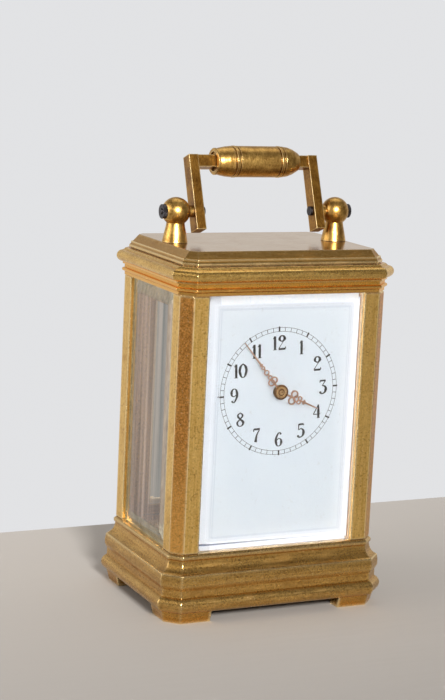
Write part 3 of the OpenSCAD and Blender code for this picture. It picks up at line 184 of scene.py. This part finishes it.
# Painted glints, as bright flecks
GLINT_FLECK = (0.95, 0.72, 0.36)
# Painted reflection: warm light mirrored from below on the cornice's lower part
NECK_WARM_REFLECTION = (0.95, 0.47, 0.08)
POLISHED_TOP = (0.6, 0.42, 0.24)

# Painted shade and reflection on the chamfers, darker and redder, paler towards the foot
RUDDY_DEEP, RUDDY, RUDDY_FOOT = (0.27, 0.09, 0.02), (0.85, 0.38, 0.085), (0.9, 0.5, 0.13)
ARRIS_HIGHLIGHT = (0.97, 0.76, 0.4)
CHAMFER_AT = 38.2   # the chamfers are where |x| + |y| is more than this, in millimetres
ARRIS_REACH = 0.2
FOOT_STARTS, FOOT_FULL = 40.0, 18.0

# Painted shade in the crevices of turned parts, and a painted highlight with some wear on their
# edges
TURNED_QUIRK_SHADE, TURNED_EDGE_HIGHLIGHT = (0.14, 0.055, 0.014), (0.93, 0.7, 0.34)
FRECKLE = (0.26, 0.11, 0.03)
# Painted shade of turned grooves
GROOVE_SHADE = (0.2, 0.08, 0.025)
COLLET_RIM = 1.22   # radii of the collet's turned rings, in millimetres
COLLET_RING, COLLET_RING_HALF = 0.62, 0.13


def ruddy_chamfers(made, tone, fine):
    """Painted shade on the columns' chamfers, redder, and paler towards the foot, with a painted
    highlight along each arris.
    """
    reach = abs(made.along(X)) + abs(made.along(Y))
    ruddy = made.mix(fine.between(0.36, 0.66), RUDDY_DEEP, RUDDY)
    towards_foot = made.along(Z).between(FOOT_STARTS, FOOT_FULL)
    ruddy = made.mix(towards_foot * 0.5, ruddy, RUDDY_FOOT)
    # Painted shade: the chamfers darker and redder; painted light: paler towards the foot
    tone = made.mix((reach > CHAMFER_AT) * 0.85, tone, ruddy)
    # Painted highlight along each arris
    arris = (reach > CHAMFER_AT - ARRIS_REACH) * (reach < CHAMFER_AT)
    return made.mix(arris, tone, ARRIS_HIGHLIGHT)


def worn_brass(name, light, deep, stain=UMBER, painted_glow=HOLLOW_BOUNCE_GLOW, grain=ALONG, rough=0.26,
               stain_at=0.64, polished_above=None, chamfered=False, warm_reflection_below=None,
               edge=0.5, easing=0.18):
    """Cast and gilt brass: grained, speckled and stained in patches, with painted glints,
    painted warm bounce light in its hollows, painted shade in its quirks, and painted highlights
    with some rubbed wear on its edges.
    """
    made = Finish(name)
    streaks = made.noise(0.42, grain, detail=5.0, roughness=0.7)
    patches = made.noise(5.5, (1.0, 1.0, 1.6), detail=4.0, roughness=0.62, shift=3.0)
    fine = made.noise(0.36, detail=4.0, roughness=0.75, shift=7.0)
    tone = made.mix((streaks * 0.5 + fine * 0.5).between(0.38, 0.62), deep, light)
    stained = (patches * 0.8 + streaks * 0.45).between(stain_at, stain_at + 0.2)
    tone = made.mix(stained * 0.7, tone, stain)
    if chamfered:
        tone = ruddy_chamfers(made, tone, fine)
    specks = made.noise(0.55, roughness=0.6, shift=13.0).between(0.57, 0.68)
    tone = made.mix(specks * 0.6, tone, stain)
    # Bright flecks: painted glints
    flecks = made.noise(0.4, roughness=0.6, shift=23.0).between(0.62, 0.7)
    tone = made.mix(flecks * 0.5, tone, GLINT_FLECK)
    # Painted light: the sheltered hollows take a warm bounce glow
    sheltered = 1 - made.crevice(3.0).between(0.45, 0.95)
    tone = made.mix(sheltered * 0.85, tone, painted_glow)
    # Painted shade: darker in the narrow crevices
    open_air = made.crevice(0.8).between(0.25, 0.65)
    tone = made.mix(open_air, QUIRK_SHADE, tone)
    # Edges painted pale: a painted highlight, with some rubbed wear
    off_edge = made.crevice(edge, inside=True).between(0.6, 0.97)
    tone = made.mix(off_edge, RUBBED_EDGE_HIGHLIGHT, tone)
    # Painted reflection: a warm band low on the cornice, for light it mirrors from below
    if warm_reflection_below is not None:
        neck = made.along(Z) < warm_reflection_below
        tone = made.mix(neck * (0.3 + streaks * 0.8), tone, NECK_WARM_REFLECTION)
    roughness = rough + fine * 0.16 + stained * 0.14 - (1 - off_edge) * 0.1
    height = fine * 0.6 + streaks * 0.4
    if polished_above is not None:
        polish = made.along(Z) > polished_above
        tone = made.mix(polish * 0.8, tone, POLISHED_TOP)
        roughness = roughness * (1 - polish) + polish * (0.1 + patches * 0.16)
        height = height * (1 - polish * 0.85)
    normal = made.bump(height, 0.026, made.eased(easing))
    return made.surface(Base_Color=tone, Metallic=1.0, Roughness=roughness, Normal=normal)


def turned_brass(name, light, deep, rough=0.2, freckled=0.5, ringed=None):
    """Turned brass with tool lines, freckles and handling wear, painted shade in its crevices
    and painted highlights on its edges; when ringed, painted shade in dark rings for its turned
    grooves.
    """
    made = Finish(name)
    lines = made.noise(0.16, (2.0, 0.15, 0.15), roughness=0.6)
    hazes = made.noise(2.4, roughness=0.6, shift=5.0)
    fine = made.noise(0.4, (1.6, 0.7, 0.7), detail=4.0, roughness=0.7, shift=9.0)
    tone = made.mix((hazes * 0.4 + fine * 0.6).between(0.38, 0.62), deep, light)
    specks = made.noise(0.5, roughness=0.6, shift=13.0).between(0.57, 0.68)
    tone = made.mix(specks * freckled, tone, FRECKLE)
    if ringed is not None:
        low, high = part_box(ringed)
        centred = (0.0, 0.0, -(low[2] + high[2]) / 2 / MM)
        side, rise = made.along(X, centred), made.along(Z, centred)
        radius = (side * side + rise * rise) ** 0.5
        # Painted shade: dark rings for the collet's turned rim and groove
        rings = (radius > COLLET_RIM) + (abs(radius - COLLET_RING) < COLLET_RING_HALF)
        tone = made.mix(rings * 0.9, tone, GROOVE_SHADE)
    else:
        # Painted shade: darker in the narrow crevices
        open_air = made.crevice(0.9).between(0.3, 0.8)
        tone = made.mix(open_air, TURNED_QUIRK_SHADE, tone)
        # Edges painted pale: a painted highlight, with some rubbed wear
        off_edge = made.crevice(0.25, inside=True).between(0.5, 0.95)
        tone = made.mix(off_edge, TURNED_EDGE_HIGHLIGHT, tone)
    roughness = rough + hazes * 0.14 + fine * 0.12
    normal = made.bump(lines * 0.4 + fine * 0.6, 0.016, made.eased(0.14))
    return made.surface(Base_Color=tone, Metallic=1.0, Roughness=roughness, Normal=normal)


def movement_metal(name, light, deep, rough=0.28):
    """Clean metal with a fine grain from side to side, for wheels, plates and screws."""
    made = Finish(name)
    lines = made.noise(0.15, (0.3, 1.0, 3.0), roughness=0.6)
    tone = made.mix(lines.between(0.38, 0.62), deep, light)
    normal = made.bump(lines, 0.002, made.eased(0.05))
    return made.surface(Base_Color=tone, Metallic=1.0, Roughness=rough + lines * 0.12,
                        Normal=normal)


# ---- Glass, enamel, ink and table ----

RIDGE_IN = 3.75   # from a pane's edge to the ridge of its bevel, in millimetres
RIDGE_HALF = 0.12
BAND_STARTS, BAND_FULL = RIDGE_IN - 0.95, RIDGE_IN - 1.1
LINE_HALF = 0.13
FOOT_LINE_HALF = 0.14
GLASS = (0.97, 0.985, 0.98)
# Painted shadow: a dark blue line low on the front pane
FOOT_SHADOW_BLUE = (0.1, 0.12, 0.2)
UNLIT = (0.0, 0.0, 0.0)


def clear_glass(pane, across, bevel_tint, bevel_painted_light, line_tint, room_reflection=UNLIT,
                sparkle=None, foot_shadow_at=None):
    """Polished plate glass. The ground bevel carries painted light, an emitted glow that stands
    for the light it catches, with a fine painted dark line at its ridge.

    With sparkle the painted glow covers the bevel all round, and by that share unevenly. Without
    it, it glows in a band and a line along its outer part. Off the bevel lies a painted
    reflection of the room."""
    low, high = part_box(pane)
    made = Finish("glass_of_" + pane)
    inset = None
    for axis in (across, Z):
        middle, half = (low[axis] + high[axis]) / 2 / MM, (high[axis] - low[axis]) / 2 / MM
        depth = half - abs(made.along(axis) - middle)
        inset = depth if inset is None else inset.least(depth)
    bevel = inset < RIDGE_IN
    ridge = abs(inset - RIDGE_IN) < RIDGE_HALF
    smear = made.noise(6.0, (1.0, 1.0, 0.6), roughness=0.6)
    ground = made.noise(0.8, (1.0, 1.0, 0.3), roughness=0.6, shift=4.0)
    tint = made.mix(bevel, GLASS, bevel_tint)
    # Painted dark line along the bevel's ridge
    tint = made.mix(ridge, tint, line_tint)
    # Painted shadow: the refracted shadow under the dial's lower edge, as a dark blue line
    if foot_shadow_at is not None:
        foot = abs(made.along(Z) - (low[2] / MM + foot_shadow_at)) < FOOT_LINE_HALF
        fading = made.along(across).between(16.0, -12.0)
        tint = made.mix(foot * fading * (inset > 1.0), tint, FOOT_SHADOW_BLUE)
    # Painted light on the bevel: an emitted glow in place of the light it catches
    if sparkle is not None:
        catch = bevel * (ground.between(0.3, 0.7) * sparkle + 1 - sparkle)
    else:
        lean = (made.along(across) > low[across] / MM + RIDGE_IN) * 0.8 + 0.2
        band = inset.between(BAND_STARTS, BAND_FULL)
        line = abs(inset - BAND_STARTS) < LINE_HALF
        catch = band * lean * ground.between(0.1, 0.5) + line * 0.5
    # Painted reflection of the room off the bevel, in faint upright bars
    bars = made.noise(1.7, (1.0, 1.0, 0.015), detail=4.0, roughness=0.6, shift=8.0)
    painted_reflection = made.mix(bars.between(0.4, 0.62) * (1 - bevel), UNLIT, room_reflection)
    painted_glow = made.mix(catch, painted_reflection, bevel_painted_light)
    return made.surface(Base_Color=tint, Metallic=0.0,
                        Roughness=smear.between(0.45, 0.9) * 0.03, IOR=1.5,
                        Transmission_Weight=1.0, Emission_Color=painted_glow,
                        Emission_Strength=1.0, Normal=made.bump(smear, 0.003))


def fired_enamel():
    """White enamel with a faint cloud and a few specks under its gloss."""
    made = Finish("fired_enamel")
    cloud = made.noise(9.0, roughness=0.55)
    speck = made.noise(0.5, detail=2.0, shift=2.0).between(0.66, 0.70)
    tone = made.mix(cloud.between(0.3, 0.7), (0.84, 0.895, 0.97), (0.87, 0.92, 0.985))
    tone = made.mix(speck * 0.35, tone, (0.45, 0.42, 0.38))
    return made.surface(Base_Color=tone, Roughness=0.2 + speck * 0.2, Coat_Weight=0.5,
                        Coat_Roughness=0.05, Normal=made.bump(cloud, 0.01))


def dial_ink():
    """Fired black, worn a little grey."""
    made = Finish("fired_black")
    worn = made.noise(0.35, detail=2.0)
    tone = made.mix(worn.between(0.35, 0.75), (0.012, 0.012, 0.014), (0.06, 0.055, 0.05))
    return made.surface(Base_Color=tone, Roughness=0.35 + worn * 0.1)


def plain_stage(name, tone):
    """Matt table with a faint fibre, paler behind the clock and far in front of it, where the
    paler colour is painted light.
    """
    made = Finish(name)
    drift = made.noise(60.0)
    fibre = made.noise(1.6, (0.06, 1.0, 1.0), detail=4.0, roughness=0.65, shift=5.0)
    back = made.along(Y)
    near = made.mix(fibre.between(0.3, 0.7), tuple(0.9 * c for c in tone), tone)
    near = made.mix(drift.between(0.3, 0.7), tuple(0.95 * c for c in tone), near)
    # Painted light: paler behind the clock
    colour = made.mix(back.between(-110.0, 60.0), near, tuple(2.42 * c for c in tone))
    # Painted light: paler far in front, where the lamps' light falls off
    colour = made.mix(back.between(-500.0, -620.0), colour, (0.93, 0.91, 0.88))
    return made.surface(Base_Color=colour, Roughness=0.9 + drift * 0.05,
                        Specular_IOR_Level=0.15)


# ---- Finishes of the clock's pieces ----

top_low, top_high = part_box("top_moulding")
NECK_TOP = top_low[2] / MM - 2.6
TOP_FLAT = top_high[2] / MM - 0.03

finishes = {
    "column": worn_brass("column_brass", GOLD, DEEP_GOLD, grain=UPRIGHT, stain_at=0.68,
                         chamfered=True),
    "cornice": worn_brass("cornice_brass", (0.97, 0.64, 0.2), (0.56, 0.31, 0.065), rough=0.19,
                          stain_at=0.66, warm_reflection_below=NECK_TOP),
    "top": worn_brass("top_brass", (0.6, 0.36, 0.11), (0.4, 0.22, 0.06),
                      polished_above=TOP_FLAT),
    "base": worn_brass("base_brass", (0.75, 0.465, 0.14), (0.37, 0.19, 0.042),
                       stain=(0.25, 0.13, 0.04), painted_glow=(0.54, 0.26, 0.045), rough=0.2,
                       edge=0.8, easing=0.35),
    "handle": turned_brass("handle_brass", (0.76, 0.47, 0.135), (0.36, 0.18, 0.038)),
    "arm": turned_brass("arm_brass", (0.45, 0.225, 0.042), (0.2, 0.082, 0.013)),
    "collet": turned_brass("collet_brass", (0.9, 0.6, 0.28), (0.5, 0.26, 0.09), rough=0.34,
                           freckled=0.85, ringed="hand_collet"),
    "plate": movement_metal("pale_gilt", (0.86, 0.68, 0.46), (0.68, 0.5, 0.31), 0.34),
    "wheel": movement_metal("wheel_brass", (0.82, 0.63, 0.3), (0.66, 0.48, 0.2)),
    "steel": movement_metal("polished_steel", (0.58, 0.58, 0.6), (0.4, 0.4, 0.42), 0.22),
    "dark": movement_metal("blued_steel", (0.11, 0.10, 0.105), (0.05, 0.045, 0.05), 0.34),
    "hands": movement_metal("rose_gilt", (0.8, 0.52, 0.4), (0.55, 0.32, 0.22), 0.5),
    "front_glass": clear_glass("front_glass", X, bevel_tint=(0.99, 0.99, 0.99),
                               bevel_painted_light=(0.12, 0.12, 0.12), line_tint=(0.82, 0.85, 0.88),
                               foot_shadow_at=2.3),
    "left_glass": clear_glass("left_glass", Y, bevel_tint=(0.9, 0.93, 0.88),
                              bevel_painted_light=(0.135, 0.125, 0.09), line_tint=(0.85, 0.85, 0.8),
                              room_reflection=(0.15, 0.112, 0.088), sparkle=0.9),
    "right_glass": clear_glass("right_glass", Y, bevel_tint=(0.94, 0.96, 0.94),
                               bevel_painted_light=(0.05, 0.05, 0.045), line_tint=(0.85, 0.88, 0.86),
                               room_reflection=(0.03, 0.028, 0.025), sparkle=0.35),
    "door_glass": clear_glass("door_glass", X, bevel_tint=(0.94, 0.96, 0.94),
                              bevel_painted_light=(0.05, 0.05, 0.045), line_tint=(0.85, 0.88, 0.86),
                              room_reflection=(0.02, 0.02, 0.02), sparkle=0.35),
    "enamel": fired_enamel(),
    "ink": dial_ink(),
}

WEARS = {
    "column": ["column_front_left", "column_front_right", "column_back_left",
               "column_back_right", "door_frame"],
    "cornice": ["cornice"],
    "top": ["top_moulding"],
    "base": ["base_moulding"],
    "handle": ["handle_post_left", "handle_post_right", "handle_grip", "door_knob"],
    "arm": ["handle_arm_left", "handle_arm_right"],
    "plate": ["front_plate", "back_plate", "plate_pillars", "platform", "potence",
              "barrel_drum", "barrel_cover"],
    "wheel": ["minute_wheel", "hour_wheel", "centre_wheel", "third_wheel", "contrate_wheel",
              "escape_wheel", "balance_wheel", "balance_cock", "pallet_cock"],
    "steel": ["case_screws", "movement_screws", "door_pins", "minute_stud", "barrel_arbor",
              "ratchet_wheel", "click", "centre_arbor", "third_arbor", "contrate_arbor",
              "escape_arbor", "lever", "balance_staff", "cannon_pinion", "regulator"],
    "dark": ["handle_screws", "handle_nuts", "plate_screws", "platform_screws",
             "mainspring", "hairspring", "click_spring"],
    "hands": ["hour_hand", "minute_hand"],
    "collet": ["hand_collet"],
    "front_glass": ["front_glass"],
    "left_glass": ["left_glass"],
    "right_glass": ["right_glass"],
    "door_glass": ["door_glass"],
    "enamel": ["dial"],
}
for finish, names in WEARS.items():
    for name in names:
        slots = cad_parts[name].data.materials
        slots.clear()
        slots.append(finishes[finish])


# ---- Dial print ----

def print_on_dial(name, shape):
    """Turns a bmesh into an inked piece that rides with the case."""
    mesh = bpy.data.meshes.new(name)
    shape.to_mesh(mesh)
    shape.free()
    piece = bpy.data.objects.new(name, mesh)
    bpy.context.scene.collection.objects.link(piece)
    mesh.materials.append(finishes["ink"])
    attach(piece, "case")


dial_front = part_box("dial")[0][1]
wheel_low, wheel_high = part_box("centre_wheel")
CENTRE = Vector(((wheel_low[0] + wheel_high[0]) / 2, dial_front,
                 (wheel_low[2] + wheel_high[2]) / 2))
PRINT_TURN = math.radians(2.8)
PRINT_T = 0.02 * MM
MINUTE = 6   # degrees


def on_dial(radius, minutes):
    """Point on the dial at so many minutes, turned a little as the print is."""
    angle = math.radians(90 - MINUTE * minutes) + PRINT_TURN
    return CENTRE + Vector((radius * math.cos(angle), 0, radius * math.sin(angle)))


def ink_ring(shape, radius, width):
    """Flat ring, drawn by spinning an edge round the dial's centre."""
    start = [CENTRE + Vector((r, -PRINT_T, 0)) for r in (radius - width / 2, radius + width / 2)]
    verts = [shape.verts.new(p) for p in start]
    edge = shape.edges.new(verts)
    bmesh.ops.spin(shape, geom=[*verts, edge], cent=CENTRE, axis=(0, 1, 0),
                   angle=math.tau, steps=120, use_merge=True, use_duplicate=False)


def ink_mark(shape, minutes, inner, outer, width):
    """Short bar that points at the dial's centre."""
    middle = on_dial((inner + outer) / 2, minutes)
    turn = Matrix.Rotation(math.radians(MINUTE * minutes) - PRINT_TURN, 4, "Y")
    size = Matrix.Diagonal((width, PRINT_T, outer - inner, 1))
    bmesh.ops.create_cube(shape, size=1.0, matrix=Matrix.Translation(
        middle + Vector((0, -PRINT_T / 2, 0))) @ turn @ size)


TRACK = 13.09 * MM
TRACK_H = 0.42 * MM
RING_WIDTH = 0.08 * MM
MINUTE_WIDTH, HOUR_WIDTH = 0.11 * MM, 0.34 * MM
HOUR_LONGER = 1.5
track = bmesh.new()
ink_ring(track, TRACK - TRACK_H, RING_WIDTH)
ink_ring(track, TRACK + TRACK_H, RING_WIDTH)
for minute in range(60):
    if minute % 5 == 0:
        ink_mark(track, minute, TRACK - TRACK_H, TRACK + TRACK_H * HOUR_LONGER, HOUR_WIDTH)
    else:
        ink_mark(track, minute, TRACK - TRACK_H, TRACK + TRACK_H, MINUTE_WIDTH)
bmesh.ops.recalc_face_normals(track, faces=track.faces)
print_on_dial("minute_track", track)

# Each figure's width, then its strokes as points (x, height, half width), all in
# hundredths of the figure's height
FIGURES = {
    "0": (46, [[(23, 98, 3), (6, 74, 8), (6, 26, 8), (23, 2, 3), (40, 26, 8), (40, 74, 8),
                (23, 98, 3)]]),
    "1": (26, [[(14, 97, 6), (14, 50, 7), (14, 2, 6)], [(2, 78, 2), (14, 97, 5)],
               [(2, 2, 2), (26, 2, 2)]]),
    "2": (50, [[(24, 56, 3), (9, 76, 8), (25, 98, 4), (42, 76, 9), (24, 56, 3)],
               [(37, 64, 3), (20, 36, 2), (5, 10, 3)], [(3, 5, 7), (47, 5, 7)],
               [(47, 5, 3), (48, 20, 3)]]),
    "3": (48, [[(5, 82, 3), (6, 96, 3)], [(5, 95, 6), (42, 95, 6)], [(42, 94, 3), (20, 60, 3)],
               [(20, 60, 3), (38, 52, 6), (43, 28, 9), (26, 3, 4), (8, 10, 7), (8, 19, 7)]]),
    "4": (50, [[(36, 98, 3), (36, 50, 7), (36, 2, 6)], [(36, 98, 3), (3, 30, 3)],
               [(3, 29, 3), (49, 29, 3)], [(26, 2, 2), (46, 2, 2)]]),
    "5": (46, [[(11, 97, 4), (9, 56, 3)], [(11, 94, 7), (42, 95, 6)], [(42, 95, 3), (43, 84, 2)],
               [(9, 56, 3), (28, 62, 4), (42, 34, 9), (24, 3, 4), (7, 9, 7), (7, 18, 7)]]),
    "6": (46, [[(38, 84, 6), (30, 97, 4), (12, 76, 6), (6, 30, 8), (22, 2, 3), (40, 28, 8),
                (26, 56, 3), (9, 42, 3)]]),
    "7": (46, [[(4, 78, 4), (5, 96, 3)], [(5, 94, 7), (44, 94, 7)],
               [(43, 92, 3), (24, 50, 5), (17, 3, 9)]]),
    "8": (46, [[(23, 98, 3), (8, 78, 6), (23, 53, 6), (42, 26, 8), (23, 2, 3), (4, 25, 6),
                (23, 53, 4), (38, 78, 6), (23, 98, 3)]]),
    "9": (46, [[(8, 16, 6), (16, 3, 4), (34, 24, 6), (40, 70, 8), (24, 98, 3), (6, 72, 8),
                (20, 44, 3), (37, 58, 3)]]),
}
FIGURE_R = 10.3 * MM
FIGURE_UNIT = 3.0 * MM / 100
FIGURE_MIDDLE = 50
FIGURE_GAP = 8
FIGURE_WEIGHT = 1.15
FIGURE_WIDE = 1.2
STROKE_T = PRINT_T / 12


def brush_stroke(points, left):
    """Round stroke through the points, as a mesh in the figure's own units."""
    line = bpy.data.curves.new("stroke", "CURVE")
    line.dimensions = "3D"
    line.bevel_depth = 1.0
    line.bevel_resolution = 1
    line.resolution_u = 6
    line.use_fill_caps = True
    spline = line.splines.new("BEZIER")
    spline.bezier_points.add(len(points) - 1)
    for point, (x, height, half) in zip(spline.bezier_points, points):
        point.co = (left + x, 0, height - FIGURE_MIDDLE)
        point.radius = half * FIGURE_WEIGHT
        point.handle_left_type = point.handle_right_type = "AUTO"
    holder = bpy.data.objects.new("stroke", line)
    bpy.context.scene.collection.objects.link(holder)
    bpy.context.view_layer.update()
    mesh = bpy.data.meshes.new_from_object(
        holder.evaluated_get(bpy.context.evaluated_depsgraph_get()))
    bpy.data.objects.remove(holder)
    bpy.data.curves.remove(line)
    return mesh


def write_figures(shape, text, hour):
    """Draws an hour upright on the dial, in strokes pressed flat."""
    flatten = (Matrix.Translation(on_dial(FIGURE_R, hour * 5))
               @ Matrix.Rotation(-PRINT_TURN, 4, "Y")
               @ Matrix.Diagonal((FIGURE_UNIT * FIGURE_WIDE, STROKE_T, FIGURE_UNIT, 1)))
    left = -(sum(FIGURES[c][0] for c in text) + FIGURE_GAP * (len(text) - 1)) / 2
    for figure in text:
        wide, strokes = FIGURES[figure]
        for points in strokes:
            mesh = brush_stroke(points, left)
            mesh.transform(flatten)
            shape.from_mesh(mesh)
            bpy.data.meshes.remove(mesh)
        left += wide + FIGURE_GAP


hours = bmesh.new()
for hour in range(1, 13):
    write_figures(hours, str(hour), hour)
print_on_dial("hour_figures", hours)


# ---- Table, lamps, room and camera ----

TABLE_REACH = 3
BOARD_EDGE = 0.056
TABLE_TONE = (0.195, 0.18, 0.165)


def table_top(name, corners, finish):
    """One flat face."""
    shape = bmesh.new()
    shape.faces.new([shape.verts.new(c) for c in corners])
    mesh = bpy.data.meshes.new(name)
    shape.to_mesh(mesh)
    shape.free()
    made = bpy.data.objects.new(name, mesh)
    bpy.context.scene.collection.objects.link(made)
    mesh.materials.append(finish)


table_top("floor", [(-TABLE_REACH, -TABLE_REACH, 0), (TABLE_REACH, -TABLE_REACH, 0),
                    (TABLE_REACH, BOARD_EDGE, 0), (-TABLE_REACH, BOARD_EDGE, 0)],
          plain_stage("pale_table", TABLE_TONE))

AIM = Vector((0, 0, 0.045))


def lamp(name, place, size, power, tone=(1.0, 1.0, 1.0)):
    """Soft rectangular lamp that faces the middle of the clock."""
    light = bpy.data.lights.new(name, "AREA")
    light.shape = "RECTANGLE"
    light.size, light.size_y = size
    light.energy = power
    light.color = tone
    made = bpy.data.objects.new(name, light)
    bpy.context.scene.collection.objects.link(made)
    made.location = place
    made.rotation_euler = (AIM - Vector(place)).to_track_quat("-Z", "Y").to_euler()


lamp("front_box", (-0.10, -0.46, 0.24), (0.10, 0.10), 4.3)
lamp("side_card", (-0.75, 0.1, 0.3), (0.6, 0.6), 2.9, (1.0, 0.97, 0.93))
lamp("top_card", (0.15, 0.25, 0.8), (0.7, 0.5), 1.2)

world = bpy.data.worlds.new("studio")
bpy.context.scene.world = world
world.use_nodes = True
sky = world.node_tree
sky.nodes.clear()


def sky_node(kind, inputs, output=0, **settings):
    """Adds a node to the room's light, and gives one of its outputs."""
    made = sky.nodes.new(kind)
    for key, value in settings.items():
        setattr(made, key, value)
    for key, value in inputs.items():
        if isinstance(value, bpy.types.NodeSocket):
            sky.links.new(value, made.inputs[key])
        else:
            made.inputs[key].default_value = value
    return made.outputs[output]


def sky_between(value, low, high):
    """Zero at low, one at high, clamped."""
    return sky_node("ShaderNodeMapRange", {0: value, 1: low, 2: high, 3: 0.0, 4: 1.0})


def sky_mix(factor, first, second):
    """Colour between first and second."""
    values = {0: factor}
    for key, colour in ((6, first), (7, second)):
        values[key] = (*colour, 1) if isinstance(colour, tuple) else colour
    return sky_node("ShaderNodeMix", values, 2, data_type="RGBA")


# Metal mirrors a room that is dim in front, pale behind the clock and dim again overhead
DIM_ROOM, PALE_ROOM = (0.16, 0.15, 0.14), (0.70, 0.69, 0.68)
EVEN_LIGHT = (0.42, 0.42, 0.42)
DARK_PAST_GLASS, LIGHT_PAST_GLASS = (0.11, 0.108, 0.105), (0.80, 0.80, 0.82)
BACKDROP = (0.76, 0.765, 0.78)
way = sky_node("ShaderNodeSeparateXYZ", {0: sky_node("ShaderNodeTexCoord", {})}, Y)
upward = way.node.outputs[Z]
pale = sky_node("ShaderNodeMath", {0: sky_between(way, -0.35, 0.3),
                                   1: sky_between(upward, 0.75, 0.3)}, operation="MULTIPLY")
room = sky_mix(pale, DIM_ROOM, PALE_ROOM)
rays = sky_node("ShaderNodeLightPath", {}).node.outputs
plain = sky_mix(rays["Is Glossy Ray"], EVEN_LIGHT, room)
# Past the glass the room looks dark, and yet it lights the dial as a pale one
spread = sky_node("ShaderNodeMath", {0: rays["Diffuse Depth"], 1: 0.5},
                  operation="GREATER_THAN")
past_glass = sky_mix(spread, DARK_PAST_GLASS, LIGHT_PAST_GLASS)
through = sky_mix(rays["Is Transmission Ray"], plain, past_glass)
seen = sky_mix(rays["Is Camera Ray"], through, BACKDROP)
room_light = sky_node("ShaderNodeBackground", {"Color": seen})
sky.links.new(room_light, sky.nodes.new("ShaderNodeOutputWorld").inputs["Surface"])

yaw, pitch, roll = (math.radians(a) for a in (-25.48, -10.38, 2.70))
EYE = (-0.17228, -0.34779, 0.12425)
ahead = Vector((-math.sin(yaw) * math.cos(pitch), math.cos(yaw) * math.cos(pitch),
                math.sin(pitch)))
right = Vector((math.cos(yaw), math.sin(yaw), 0))
up = right.cross(ahead)
right_rolled = right * math.cos(roll) + up * math.sin(roll)
up_rolled = up * math.cos(roll) - right * math.sin(roll)
lens = bpy.data.cameras.new("camera")
lens.lens = 94.6
lens.sensor_width = 36
lens.sensor_height = 36
lens.sensor_fit = "VERTICAL"
lens.clip_start = 0.01
camera = bpy.data.objects.new("camera", lens)
bpy.context.scene.collection.objects.link(camera)
turn = Matrix((right_rolled, up_rolled, -ahead)).transposed().to_4x4()
camera.matrix_world = Matrix.Translation(EYE) @ turn
bpy.context.scene.camera = camera
bpy.context.scene.view_settings.view_transform = "Standard"

bpy.context.view_layer.update()
